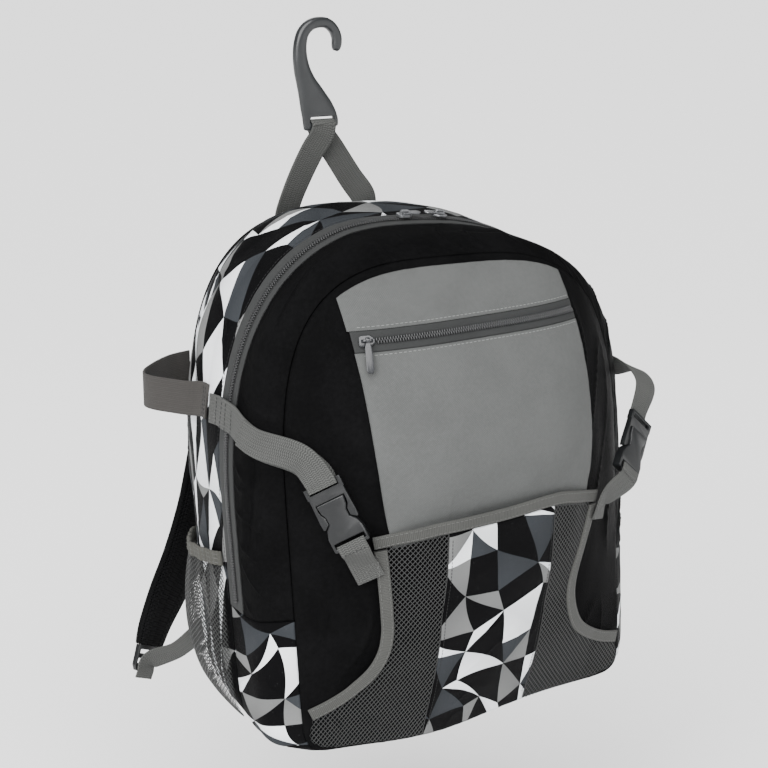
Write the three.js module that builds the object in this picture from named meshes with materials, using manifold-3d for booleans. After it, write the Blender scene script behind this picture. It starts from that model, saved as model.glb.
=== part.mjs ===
// Baseball bat backpack hanging by its fence hook: hollow main compartment, front pocket,
// open apron pocket, two net side pockets, two bat loops and two shoulder straps.
// Millimetres. Z is up, the front of the bag faces -Y, X runs from left to right as seen from
// the front. Everything is laid out with z = 0 at the base and y = 0 at the back panel, and the
// last lines move the origin to the inside top of the hook's curl.
import * as THREE from 'three';
import { mergeVertices } from 'three/addons/utils/BufferGeometryUtils.js';
import Module from 'manifold-3d';

const wasm = await Module();
wasm.setup();

// Driving dimensions
const HEIGHT = 441;            // base to the crown of the main zip
const WIDTH = 386;             // across the body at its widest
const DEPTH = 198;             // back seam to front seam at the base
const WIDEST = 0.4308 * HEIGHT; // height of the widest level
const LEAN = -0.055;           // sideways lean of the loaded body per mm of height
const DROOP = 0.0317 * HEIGHT; // how far the far top corner slumps
const CLOTH = 1.6;             // thickness of the main cloth
const GAP = 0.35;              // clearance between neighbouring pieces
const WEB = 25;                // compression strap webbing
const LOOP_WEB = 24;           // hook loop webbing
const WEB_T = 1.7;             // webbing thickness
const STRAP_LEVEL = 0.6667 * HEIGHT; // height of the bat loops
const TAPE = 1.0;              // zip tape thickness
const SEAM_GAP = 1.15;         // from the front seam line to the rim of the front face
const PAD = 11;                // shoulder strap padding
const STRAP = 66;              // shoulder strap across its widest part
const BACK_PAD = 12;           // padding of the back
const SLIDER = 13;             // length of a main zip slider
const CHAIN = 5.4;             // width of a zip chain
const HOOK = 95;               // fence hook, top of the curl to the foot
// Where the hook rests on its rail, in the layout frame.
const BEARING = [-0.0751 * WIDTH, -0.0253 * DEPTH, 1.3401 * HEIGHT];
// Tables hold shares of the named sizes; each column has its own unit.
const sized = (rows, ...units) => rows.map((r) => r.map((v, i) => v * (units[i] ?? 1)));

// Cross rings of the body from the back seam to the front seam. The columns are depth at
// the top, depth at the base, half width, top height, base height, squareness above and
// below the widest level.
const RINGS = [
  //                 yTop     yBase    half    top     base    nTop nBase
  { name: 'back',     r: [0, 0, 0.4145, 0.9751, 0.0408, 2.85, 7] },
  { name: 'crown',    r: [-0.2929, -0.303, 0.4896, 1.0113, 0.0227, 2.75, 9] },
  { name: 'zipBack',  r: [-0.6111, -0.6667, 0.5, 1.0045, 0.0068, 2.6, 13] },
  { name: 'zipFront', r: [-0.7374, -0.7879, 0.5, 0.9955, 0.0023, 2.6, 16] },
  { name: 'swell',    r: [-0.8838, -0.8889, 0.487, 0.9796, 0.0023, 3.1, 20] },
  { name: 'seam',     r: [-0.9697, -1, 0.4352, 0.9456, 0.0045, 3.4, 18] },
];
for (const ring of RINGS) [ring.r] = sized([ring.r], DEPTH, DEPTH, WIDTH, HEIGHT, HEIGHT);
const ZIP_END = 1.19;          // lap of the lower zip ends
const CORNER = 1.52;           // lap of the base corners

// Soft folds and dents of the wall: lap, ring position, reach along the lap and across it,
// turn in radians, depth (outward positive).
const FOLDS = sized([
  //  lap    ring  along    across  turn  depth
  [-0.52, 0.62, 0.1043, 0.0317, 0.5, -0.0227], [-0.74, 1.15, 0.1361, 0.0295, -0.35, -0.0202],
  [-0.3, 1.3, 0.0907, 0.0363, 0.25, -0.0177], [0.28, 0.95, 0.1043, 0.034, -0.3, -0.0227],
  [0.6, 1.1, 0.1361, 0.034, 0.35, -0.0202], [-1.02, 0.8, 0.1587, 0.0363, 0.15, -0.0177],
  [1.02, 0.85, 0.1587, 0.0363, -0.15, -0.0177], [-0.62, 0.2, 0.0771, 0.0272, 0.2, -0.0152],
  [-0.88, 3.9, 0.1088, 0.0272, 0.3, -0.0202], [0.9, 3.95, 0.1088, 0.0272, -0.3, -0.0202],
  [-0.42, 3.9, 0.0907, 0.0249, -0.4, -0.0152], [0.2, 3.8, 0.1361, 0.0272, 0.2, -0.0152],
], 1, 1, HEIGHT, HEIGHT, 1, DEPTH);
// Front face: how far it domes beyond the front seam at each height.
const DOME = sized([
  [-0.0181, 0.0303], [0, 0.0606], [0.1361, 0.1414], [0.2721, 0.202], [0.4535, 0.2828], [0.5782, 0.3232],
  [0.7483, 0.3434], [0.839, 0.3333], [0.9524, 0.303],
], HEIGHT, DEPTH);
// Dents of the front face: sideways place, height, reach x, reach z, depth.
const FACE_DENTS = sized([
  [-0.3316, 0.6803, 0.0415, 0.1361, -0.0253], [0.342, 0.5669, 0.0363, 0.1361, -0.0202],
  [-0.1554, 0.2721, 0.1036, 0.068, -0.0202], [0.1813, 0.2494, 0.1036, 0.068, -0.0202],
], WIDTH, HEIGHT, WIDTH, HEIGHT, DEPTH);
// Apron pocket stand-off from the face at its middle, by height.
const APRON = sized([
  [-0.0272, 0.0121], [0, 0.0253], [0.0907, 0.0606], [0.2268, 0.0808], [0.3628, 0.0758], [0.4875, 0.0556],
], HEIGHT, DEPTH);
// Free edges of the apron's net wings by height: left wing, right wing (distance from centre).
const ARCH = sized([
  [0.4286, 0.2927, 0.2902], [0.39, 0.2876, 0.2746], [0.3447, 0.2824, 0.2539], [0.2993, 0.2772, 0.2383],
  [0.254, 0.2746, 0.2358], [0.2132, 0.2824, 0.2461], [0.1769, 0.3031, 0.2694], [0.1451, 0.3394, 0.3135],
  [0.1202, 0.3834, 0.3653], [0.102, 0.4249, 0.4223],
], HEIGHT, WIDTH, WIDTH);
const APRON_HALF = 0.1373 * WIDTH; // half width of the printed centre panel
const APRON_TOP = sized([
  [-0.2927, 0.4308], [-0.1813, 0.449], [0, 0.4603], [0.1554, 0.4649], [0.2927, 0.4354],
], WIDTH, HEIGHT);

// Small maths
const clamp = (v, a = 0, b = 1) => Math.min(b, Math.max(a, v));
const V = (x, y, z) => new THREE.Vector3(x, y, z);
const lerp = (a, b, t) => a + (b - a) * t;
function table(rows, x, col = 1) {
  if (x <= rows[0][0]) return rows[0][col];
  for (let i = 1; i < rows.length; i++) {
    if (x <= rows[i][0]) {
      const t = (x - rows[i - 1][0]) / (rows[i][0] - rows[i - 1][0]);
      return lerp(rows[i - 1][col], rows[i][col], t);
    }
  }
  return rows[rows.length - 1][col];
}
const span = (a, b, n) => Array.from({ length: n + 1 }, (_, i) => lerp(a, b, i / n));

// A quarter of a superellipse, walked from (0, b) to (a, 0) at even arc length.
function quarter(a, b, n) {
  const pts = [];
  for (let i = 0; i <= 96; i++) {
    const w = (Math.PI / 2) * (1 - i / 96);
    const c = Math.cos(w), s = Math.sin(w);
    const r = 1 / Math.pow(Math.pow(c / a, n) + Math.pow(s / b, n), 1 / n);
    pts.push([r * c, r * s]);
  }
  const len = [0];
  for (let i = 1; i < pts.length; i++) {
    len.push(len[i - 1] + Math.hypot(pts[i][0] - pts[i - 1][0], pts[i][1] - pts[i - 1][1]));
  }
  return (f) => {
    const want = clamp(f) * len[96];
    let i = 1;
    while (i < 96 && len[i] < want) i++;
    const t = (want - len[i - 1]) / (len[i] - len[i - 1]);
    return [lerp(pts[i - 1][0], pts[i][0], t), lerp(pts[i - 1][1], pts[i][1], t)];
  };
}
for (const ring of RINGS) {
  const [, , half, top, base, nTop, nBase] = ring.r;
  ring.upper = quarter(half, top - WIDEST, nTop);
  ring.lower = quarter(half, WIDEST - base, nBase);
}
// Point of ring k at a lap: 0 is the top centre, +-1 the widest level, +-2 the base centre.
function ringPoint(k, lap) {
  const { r, upper, lower } = RINGS[clamp(k, 0, RINGS.length - 1)];
  const q = Math.abs(lap), side = lap < 0 ? -1 : 1;
  const [x, h] = q <= 1 ? upper(q) : lower(2 - q);
  const z = q <= 1 ? WIDEST + h : WIDEST - h;
  return V(side * x, lerp(r[1], r[0], z / HEIGHT), z);
}
// The loaded bag leans a little and its far top corner and its base sag.
function slump(p) {
  const forward = clamp((-p.y / DEPTH - 0.7576) / 0.2273);
  const droop = DROOP * clamp((p.x / WIDTH + 0.1813) / 0.6218) * clamp((p.z / HEIGHT - 0.4535) / 0.5442)
    * (1 - 0.6 * forward);
  const sag = 0.0272 * HEIGHT * Math.exp(-(((p.x / WIDTH + 0.1166) / 0.1943) ** 2))
    * clamp(1 - p.z / HEIGHT / 0.1587) * clamp(-p.y / DEPTH / 0.9596);
  return V(p.x + LEAN * (p.z - WIDEST), p.y, p.z - droop - sag);
}
function foldDepth(lap, s) {
  let d = 0;
  for (const [fl, fs, along, across, turn, depth] of FOLDS) {
    const a = (lap - fl) * 0.839 * HEIGHT, b = (s - fs) * 0.303 * DEPTH;
    const u = a * Math.cos(turn) + b * Math.sin(turn), v = b * Math.cos(turn) - a * Math.sin(turn);
    d += depth * Math.exp(-((u / along) ** 2) - (v / across) ** 2);
  }
  return d * clamp(Math.abs(s - 2.5) / 0.9 - 0.5) * clamp((5 - s) * 2) * clamp(s * 3);
}
// Wall of the bag, s = 0 at the back seam to 5 at the front seam, before the slump.
function bareWall(lap, s) {
  const k = Math.min(4, Math.floor(s)), t = s - k;
  const [a, b, c, d] = [k - 1, k, k + 1, k + 2].map((i) => ringPoint(i, lap));
  const m1 = c.clone().sub(a).multiplyScalar(k === 0 ? 1 : 0.5);
  const m2 = d.clone().sub(b).multiplyScalar(k === 4 ? 1 : 0.5);
  const t2 = t * t, t3 = t2 * t;
  return b.clone().multiplyScalar(2 * t3 - 3 * t2 + 1).addScaledVector(m1, t3 - 2 * t2 + t)
    .addScaledVector(c, -2 * t3 + 3 * t2).addScaledVector(m2, t3 - t2);
}
const HEART = V(0, -0.48 * DEPTH, 0.4535 * HEIGHT);
// Unit normal of a two-parameter surface, pointing away from the bag's middle.
function normalOf(fn, a, b, da, db) {
  const u = fn(a + da, b).sub(fn(a - da, b)), v = fn(a, b + db).sub(fn(a, b - db));
  const n = u.cross(v).normalize(), p = fn(a, b).sub(HEART);
  p.z *= 0.6;
  return n.dot(p) < 0 ? n.negate() : n;
}
function wallAt(lap, s) {
  const safe = (a, b) => bareWall(a, clamp(b, 0, 5));
  const d = foldDepth(lap, s);
  const p = bareWall(lap, s);
  if (Math.abs(d) > 0.02) p.addScaledVector(normalOf(safe, lap, clamp(s, 0.03, 4.97), 0.01, 0.02), d);
  return slump(p);
}
const wallNormal = (lap, s) => normalOf(wallAt, lap, clamp(s, 0.03, 4.97), 0.01, 0.02);
const wall = (lap, s, lift = 0) => (
  lift ? wallAt(lap, s).addScaledVector(wallNormal(lap, s), lift) : wallAt(lap, s)
);
// Lap at which ring position s reaches a given height on its side (negative side = left).
function lapAt(z, s, side) {
  let lo = 0, hi = 1.5;
  for (let i = 0; i < 30; i++) {
    const mid = (lo + hi) / 2;
    if (bareWall(mid, s).z > z) lo = mid; else hi = mid;
  }
  return side * lo;
}
// Place inside the front seam: 1 on the seam, 0 at the middle.
function gauge(x, z) {
  const [, , half, top, base, nTop, nBase] = RINGS[5].r;
  const h = z - WIDEST, n = h >= 0 ? nTop : nBase, b = h >= 0 ? top - WIDEST : WIDEST - base;
  return Math.pow(Math.pow(Math.abs(x / half), n) + Math.pow(Math.abs(h / b), n), 1 / n);
}
function bareFace(x, z) {
  const r = RINGS[5].r, g = clamp(gauge(x, z));
  let y = lerp(r[1], r[0], z / HEIGHT) - table(DOME, z) * (1 - g ** 3);
  for (const [dx, dz, rx, rz, depth] of FACE_DENTS) {
    y -= depth * Math.exp(-(((x - dx) / rx) ** 2) - ((z - dz) / rz) ** 2) * (1 - g ** 6);
  }
  return V(x, y, z);
}
const faceAt = (x, z) => slump(bareFace(x, z));
const faceNormal = (x, z) => normalOf(faceAt, x, z, 2, 2);
const face = (x, z, lift = 0) => faceAt(x, z).addScaledVector(faceNormal(x, z), lift);
// The apron pocket bellies out from the face, gathered along its top edge.
function apronAt(x, z) {
  const p = bareFace(x, z), u = x / WIDTH / 0.3238;
  const ruffle = 0.9 * Math.cos((x / WIDTH) * 62.26) * clamp((z / HEIGHT - 0.2721) / 0.1814)
    * clamp(Math.abs(x / WIDTH) / 0.1036 - 1);
  p.y -= 2.4 + (table(APRON, z) - 2.4) * clamp(1 - u * u) + ruffle;
  return slump(p);
}
const apronNormal = (x, z) => normalOf(apronAt, x, z, 3, 3);
const apron = (x, z, lift = 0) => apronAt(x, z).addScaledVector(apronNormal(x, z), lift);

// Solids
function solid(points, tris) {
  let vol = 0;
  for (const [a, b, c] of tris) vol += points[a].dot(points[b].clone().cross(points[c]));
  const g = new THREE.BufferGeometry();
  g.setAttribute('position', new THREE.Float32BufferAttribute(points.flatMap((p) => [p.x, p.y, p.z]), 3));
  g.setIndex(tris.flatMap(([a, b, c]) => (vol < 0 ? [a, c, b] : [a, b, c])));
  return g;
}
// Grid of mid-surface points thickened by t: two skins joined by a rim.
function shell(grid, t) {
  const n = grid.length, m = grid[0].length, out = [], inn = [];
  for (let i = 0; i < n; i++) {
    for (let j = 0; j < m; j++) {
      const u = grid[Math.min(n - 1, i + 1)][j].clone().sub(grid[Math.max(0, i - 1)][j]);
      const v = grid[i][Math.min(m - 1, j + 1)].clone().sub(grid[i][Math.max(0, j - 1)]);
      const nn = u.cross(v).normalize();
      out.push(grid[i][j].clone().addScaledVector(nn, t / 2));
      inn.push(grid[i][j].clone().addScaledVector(nn, -t / 2));
    }
  }
  const tris = [], N = n * m, id = (i, j) => i * m + j;
  const quad = (a, b, c, d) => tris.push([a, b, c], [a, c, d]);
  for (let i = 0; i < n - 1; i++) {
    for (let j = 0; j < m - 1; j++) {
      const [a, b, c, d] = [id(i, j), id(i + 1, j), id(i + 1, j + 1), id(i, j + 1)];
      quad(a, b, c, d);
      tris.push([a + N, c + N, b + N], [a + N, d + N, c + N]);
    }
  }
  const rim = [];
  for (let j = 0; j < m - 1; j++) rim.push([id(0, j), id(0, j + 1)]);
  for (let i = 0; i < n - 1; i++) rim.push([id(i, m - 1), id(i + 1, m - 1)]);
  for (let j = m - 1; j > 0; j--) rim.push([id(n - 1, j), id(n - 1, j - 1)]);
  for (let i = n - 1; i > 0; i--) rim.push([id(i, 0), id(i - 1, 0)]);
  for (const [a, b] of rim) quad(a, b, b + N, a + N);
  return solid(out.concat(inn), tris);
}
// Closed loops joined one after another and capped with fans.
function loft(loops) {
  const m = loops[0].length, pts = loops.flat(), tris = [];
  for (let i = 0; i < loops.length - 1; i++) {
    for (let j = 0; j < m; j++) {
      const a = i * m + j, b = i * m + ((j + 1) % m);
      tris.push([a, b, b + m], [a, b + m, a + m]);
    }
  }
  const cap = (start, flip) => {
    const mid = V(0, 0, 0);
    for (let j = 0; j < m; j++) mid.addScaledVector(pts[start + j], 1 / m);
    pts.push(mid);
    const c = pts.length - 1;
    for (let j = 0; j < m; j++) {
      const a = start + j, b = start + ((j + 1) % m);
      tris.push(flip ? [a, c, b] : [a, b, c]);
    }
  };
  cap(0, true);
  cap((loops.length - 1) * m, false);
  return solid(pts, tris);
}
// Flat band along a path: each stop has a place p and a face normal n.
function band(stops, width, t, count, widths = null) {
  const pc = new THREE.CatmullRomCurve3(stops.map((s) => s.p), false, 'centripetal');
  const nc = new THREE.CatmullRomCurve3(stops.map((s) => s.n), false, 'centripetal');
  const grid = [];
  for (let i = 0; i <= count; i++) {
    const f = i / count, p = pc.getPoint(f), T = pc.getTangent(f), A = nc.getPoint(f).cross(T).normalize();
    const w = (widths ? table(widths, f) : width) / 2;
    grid.push([p.clone().addScaledVector(A, -w), p.clone().addScaledVector(A, w)]);
  }
  return shell(grid, t);
}
// Strip that follows a surface: fn(a, b, lift) with a track of [a, b] places and widths in mm.
function strip(fn, track, width, lift, t, sides = [-0.5, 0.5]) {
  const grid = track.map(([a, b], i) => {
    const q = fn(...track[Math.min(track.length - 1, i + 1)], 0).sub(fn(...track[Math.max(0, i - 1)], 0));
    const p = fn(a, b, lift), n = p.clone().sub(fn(a, b, lift - 1)).normalize();
    const A = n.clone().cross(q).normalize();
    return sides.map((k) => p.clone().addScaledVector(A, k * width));
  });
  return shell(grid, t);
}
// Right-angled frame matrix at p with x along T and z along N.
function frameAt(p, T, N) {
  const x = T.clone().normalize(), y = N.clone().cross(x).normalize(), z = x.clone().cross(y).normalize();
  return new THREE.Matrix4().makeBasis(x, y, z).setPosition(p);
}
function toManifold(geometry) {
  let g = geometry.clone();
  g.deleteAttribute('normal');
  g.deleteAttribute('uv');
  g = mergeVertices(g, 1e-4);
  return new wasm.Manifold(new wasm.Mesh({
    numProp: 3, vertProperties: new Float32Array(g.attributes.position.array),
    triVerts: new Uint32Array(g.index.array),
  }));
}
function fromManifold(m) {
  const mesh = m.getMesh(), g = new THREE.BufferGeometry();
  g.setAttribute('position', new THREE.BufferAttribute(new Float32Array(mesh.vertProperties), 3));
  g.setIndex(new THREE.BufferAttribute(new Uint32Array(mesh.triVerts), 1));
  return g;
}
const join = (...gs) => fromManifold(gs.map(toManifold).reduce((a, b) => a.add(b)));
const cut = (g, ...tools) => (
  fromManifold(tools.map(toManifold).reduce((a, b) => a.subtract(b), toManifold(g)))
);
const block = (w, d, h, x = 0, y = 0, z = 0) => new THREE.BoxGeometry(w, d, h).translate(x, y, z);
// Flat plate from an outline, thickness centred on z.
function plate(outline, t, holes = []) {
  const shape = new THREE.Shape(outline.map(([x, y]) => new THREE.Vector2(x, y)));
  for (const h of holes) shape.holes.push(new THREE.Path(h.map(([x, y]) => new THREE.Vector2(x, y))));
  const g = new THREE.ExtrudeGeometry(shape, { depth: t, bevelEnabled: false }).translate(0, 0, -t / 2);
  g.deleteAttribute('normal');
  g.deleteAttribute('uv');
  return mergeVertices(g, 1e-4);
}

// Materials
const paint = (color, roughness = 0.85, metalness = 0) => (
  new THREE.MeshStandardMaterial({ color, roughness, metalness })
);
const PRINT = 0x5a6063, BLACK = 0x1d1e1f, GREY = 0x7b7f7d, WEBBING = 0x6c6f6b, NET = 0x3a3c3c;
const TAPE_C = 0x55585a, PLASTIC = 0x3b3e40, METAL = 0x9a9c9d, BINDING = 0x62655f;
const bag = new THREE.Group();
function add(name, geometry, color, roughness, metalness, matrix) {
  const mesh = new THREE.Mesh(geometry, paint(color, roughness, metalness));
  mesh.name = name;
  if (matrix) matrix.decompose(mesh.position, mesh.quaternion, mesh.scale);
  bag.add(mesh);
  return mesh;
}

// Laps used by all wall panels so that their rims match.
const SIDE = [0, 0.1, 0.2, 0.29, 0.37, 0.44, 0.51, 0.58, 0.65, 0.73, 0.82, 0.92, 1.03, 1.12, ZIP_END, 1.28,
  1.37, 1.43, 1.475, CORNER];
const both = (list) => [...list.slice(1).reverse().map((v) => -v), ...list];
const wallLaps = both(SIDE), zipLaps = both(SIDE.filter((v) => v <= ZIP_END));
const lowLaps = SIDE.filter((v) => v >= ZIP_END);
const baseLaps = [CORNER, 1.56, 1.62, 1.72, 1.84, 2];
const gS = 0.008;
const patch = (laps, rows, lift = 0) => laps.map((l) => rows.map((s) => wall(l, s, lift)));
// Keep a small clearance between two panels that share a lap line.
const inset = (laps, d) => laps.map((l, i) => (i === 0 ? l + d : i === laps.length - 1 ? l - d : l));

add('gusset_print', shell(patch(wallLaps, [gS, 0.3, 0.6, 0.95, 1.4, 2 - gS]), CLOTH), PRINT);
const frontRows = [3 + 2 * gS, 3.35, 3.75, 4.2, 4.65, 5];
add('front_gusset', shell(patch(inset(zipLaps, 0.001), frontRows), CLOTH), BLACK);
for (const [side, name] of [[-1, 'left'], [1, 'right']]) {
  const laps = inset(lowLaps, 0.001).map((v) => side * v);
  add(`corner_print_${name}`, shell(patch(laps, [2 + 2 * gS, 2.5, 3, 3.6, 4.3, 5]), CLOTH), PRINT);
}
// Base, from base corner to base corner through the middle.
{
  const laps = [...baseLaps, ...baseLaps.slice(0, -1).reverse().map((v) => -v)];
  const rows = [gS, 0.6, 1.2, 2, 3, 4, 5];
  const grid = inset(laps.map((l) => (l < 0 ? 4 + l : l)), 0.002)
    .map((l) => rows.map((s) => wall(l > 2 ? l - 4 : l, s)));
  add('base_panel', shell(grid, CLOTH), BLACK);
}
// Back panel: padded, with two upright channels.
{
  const laps = [...wallLaps, ...baseLaps.slice(1), ...baseLaps.slice(1, -1).reverse().map((v) => -v)];
  const seen = laps.map((l) => wallAt(l, 0));
  const mid = V(0, 0, 0.4875 * HEIGHT);
  const front = [1.0, 0.97, 0.9, 0.7, 0.4], rise = [0.2917, 0.7083, 0.9167, 1, 1].map((v) => v * BACK_PAD);
  const loops = [];
  const back = (p, k, y) => {
    const q = mid.clone().lerp(p, k);
    const off = (Math.abs(q.x / WIDTH + 0.0052) - 0.0984) / 0.0311;
    const channel = 0.2917 * BACK_PAD * Math.exp(-(off ** 2)) * clamp((1 - k) * 12);
    return V(q.x, y > BACK_PAD / 3 ? y - channel : y, q.z);
  };
  loops.push(seen.map((p) => back(p, 0.5, GAP)), seen.map((p) => back(p, 1.003, GAP)));
  front.forEach((k, i) => loops.push(seen.map((p) => back(p, k === 1 ? 1.003 : k, rise[i]))));
  add('back_panel', loft(loops), BLACK);
}
// Front face under the pockets, set just inside the front seam.
{
  const laps = [...wallLaps, ...baseLaps.slice(1), ...baseLaps.slice(1, -1).reverse().map((v) => -v)];
  const rim = laps.map((l) => ringPoint(5, l));
  const at = (p, g, d) => {
    const k = g || 1 - SEAM_GAP / Math.hypot(p.x, p.z - WIDEST);
    return face(p.x * k, WIDEST + (p.z - WIDEST) * k, d);
  };
  const gs = [0, 0.93, 0.83, 0.66, 0.4]; // 0 stands for the rim itself
  const loops = gs.slice().reverse().map((g) => rim.map((p) => at(p, g, -CLOTH / 2)));
  loops.push(...gs.map((g) => rim.map((p) => at(p, g, CLOTH / 2))));
  add('front_face', loft(loops), BLACK);
}
// Main zip: tape between the two gussets, chain along its middle.
add('main_zip_tape', shell(patch(inset(zipLaps, 0.002), [2 + gS, 2.5, 3 + gS]), TAPE), TAPE_C);
const chainLine = zipLaps.slice(1, -1).map((l) => [l, 2.5]);
add('main_zip_chain', strip(wall, chainLine, CHAIN, TAPE / 2 + GAP + 1, 2), PLASTIC);

// Zip slider with a bail along its length; x runs along the chain, z off the cloth. Drawn in
// shares of its length.
function slider(l = SLIDER) {
  const body = plate(sized([
    [-0.5, -0.25], [-0.3462, -0.3654], [0.1923, -0.3654], [0.5, -0.1385], [0.5, 0.1385], [0.1923, 0.3654],
    [-0.3462, 0.3654], [-0.5, 0.25],
  ], l, l), 0.154 * l).translate(0, 0, 0.077 * l);
  const arch = plate(sized([
    [-0.3538, 0.1154], [-0.3538, 0.3231], [-0.2308, 0.4308], [0.2308, 0.4308], [0.3538, 0.3231],
    [0.3538, 0.1154], [0.2462, 0.1154], [0.2462, 0.2769], [0.1846, 0.3308], [-0.1846, 0.3308],
    [-0.2462, 0.2769], [-0.2462, 0.1154],
  ], l, l), 0.169 * l).rotateX(Math.PI / 2);
  return join(body, arch);
}
// Pull tab: its cross bar at the local origin turns under the bail, x runs to the tab's tip.
function pullTab(l = SLIDER) {
  return plate(sized([
    [-0.0577, -0.2462], [1.1538, -0.2462], [1.3077, -0.0923], [1.3077, 0.0923], [1.1538, 0.2462],
    [-0.0577, 0.2462],
  ], l, l), 0.115 * l, [sized([
    [0.0577, -0.1308], [0.5846, -0.1308], [0.5846, 0.1308], [0.0577, 0.1308],
  ], l, l)]);
}
for (const [name, lap, sense] of [['left', -0.022, 1], ['right', 0.072, -1]]) {
  const p = wall(lap, 2.5, TAPE / 2 + GAP + 2 + GAP), n = wallNormal(lap, 2.5);
  const T = wall(lap + 0.01, 2.5).sub(wall(lap - 0.01, 2.5)).multiplyScalar(sense);
  add(`main_slider_${name}`, slider(), METAL, 0.35, 0.9, frameAt(p, T, n));
  const hinge = new THREE.Matrix4().makeTranslation(-0.146 * SLIDER, 0, 0.239 * SLIDER);
  const at = frameAt(p, T, n).multiply(hinge);
  add(`main_pull_${name}`, pullTab(), METAL, 0.35, 0.9, at);
}

// Grey front pocket: a patch on the face with a zip across its upper part.
const POCKET = 3.0;            // stand-off of the patch from the face
const HALF_TAPE = 7.8;         // half the front zip's tape
const zipLine = (x) => 0.8209 * HEIGHT + 0.028 * x;
const EDGE_LEFT = sized([
  [0.39, -0.2383], [0.4875, -0.2617], [0.5782, -0.2746], [0.7483, -0.285], [0.8209, -0.2876],
  [0.907, -0.2902],
], HEIGHT, WIDTH);
const EDGE_RIGHT = sized([
  [0.39, 0.2383], [0.4875, 0.2591], [0.5442, 0.2668], [0.7483, 0.2694], [0.8209, 0.272], [0.907, 0.2694],
], HEIGHT, WIDTH);
function pocketTop(x) {
  const [, , half, top, , n] = RINGS[5].r;
  return WIDEST + 0.966 * (top - WIDEST) * Math.pow(1 - Math.pow(Math.abs(x / half), n), 1 / n);
}
{
  const cols = span(0, 1, 10);
  const lower = span(0, 1, 9).map((f) => cols.map((c) => {
    const zc = zipLine(lerp(-0.2876, 0.272, c) * WIDTH) - HALF_TAPE - GAP - 0.05;
    const z = lerp(0.39 * HEIGHT, zc, f), up = clamp((z / HEIGHT - 0.4717) / 0.3401);
    const lift = lerp(0.7333 * POCKET, POCKET, clamp((z / HEIGHT - 0.4649) / 0.0567));
    const puff = 0.0404 * DEPTH * Math.sin(Math.PI * c) * Math.sin(Math.PI * up);
    return face(lerp(table(EDGE_LEFT, z), table(EDGE_RIGHT, z), c), z, lift + puff);
  }));
  add('front_pocket_panel', shell(lower, CLOTH), GREY);
  const upper = span(0, 1, 3).map((f) => cols.map((c) => {
    const x = lerp(-0.2902, 0.2707, c) * WIDTH;
    return face(x, lerp(zipLine(x) + HALF_TAPE + GAP + 0.05, pocketTop(x), f), POCKET);
  }));
  add('front_pocket_top', shell(upper, CLOTH), GREY);
  const tape = cols.map((c) => {
    const x = lerp(-0.286, 0.2705, c) * WIDTH;
    return [-HALF_TAPE, 0, HALF_TAPE].map((d) => face(x, zipLine(x) + d, POCKET - 0.3));
  });
  add('front_zip_tape', shell(tape, TAPE), TAPE_C);
  const line = span(-0.2412 * WIDTH, 0.2642 * WIDTH, 14).map((x) => [x, zipLine(x)]);
  add('front_zip_chain', strip(face, line, CHAIN, POCKET - 0.3 + TAPE / 2 + GAP + 1, 2), PLASTIC);
  const sx = -0.2591 * WIDTH, sz = zipLine(sx);
  const p = face(sx, sz, POCKET - 0.3 + TAPE / 2 + GAP), n = faceNormal(sx, sz);
  const T = face(sx + 3, zipLine(sx + 3)).sub(face(sx - 3, zipLine(sx - 3)));
  add('front_slider', slider(), PLASTIC, 0.5, 0.2, frameAt(p, T, n));
  // The pull hangs from the bail's top bar and swings about it.
  const F = frameAt(p, T, n), hang = V(0, 0, 0.381 * SLIDER).applyMatrix4(F);
  const X = T.clone().normalize(), down = X.clone().cross(n).normalize();
  down.z > 0 && down.negate();
  const Y = X.clone().negate();
  const M = new THREE.Matrix4().makeBasis(down, Y, down.clone().cross(Y)).setPosition(hang);
  const turns = span(0, 2 * Math.PI, 12).slice(0, 12);
  const ringOf = (rad) => turns.map((w) => [rad * Math.cos(w), rad * Math.sin(w)]);
  const eye = plate(ringOf(0.2 * SLIDER), 0.231 * SLIDER, [ringOf(0.1192 * SLIDER)]).rotateX(Math.PI / 2);
  const tab = join(eye, plate(sized([
    [0.1538, -0.1154], [0.1538, 0.1154], [0.4615, 0.2077], [1.8462, 0.2385], [2.0385, 0.1385],
    [2.0385, -0.1385], [1.8462, -0.2385], [0.4615, -0.2077],
  ], SLIDER, SLIDER), 0.131 * SLIDER));
  add('front_pull', tab, PLASTIC, 0.3, 0.1, M);
}

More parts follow.
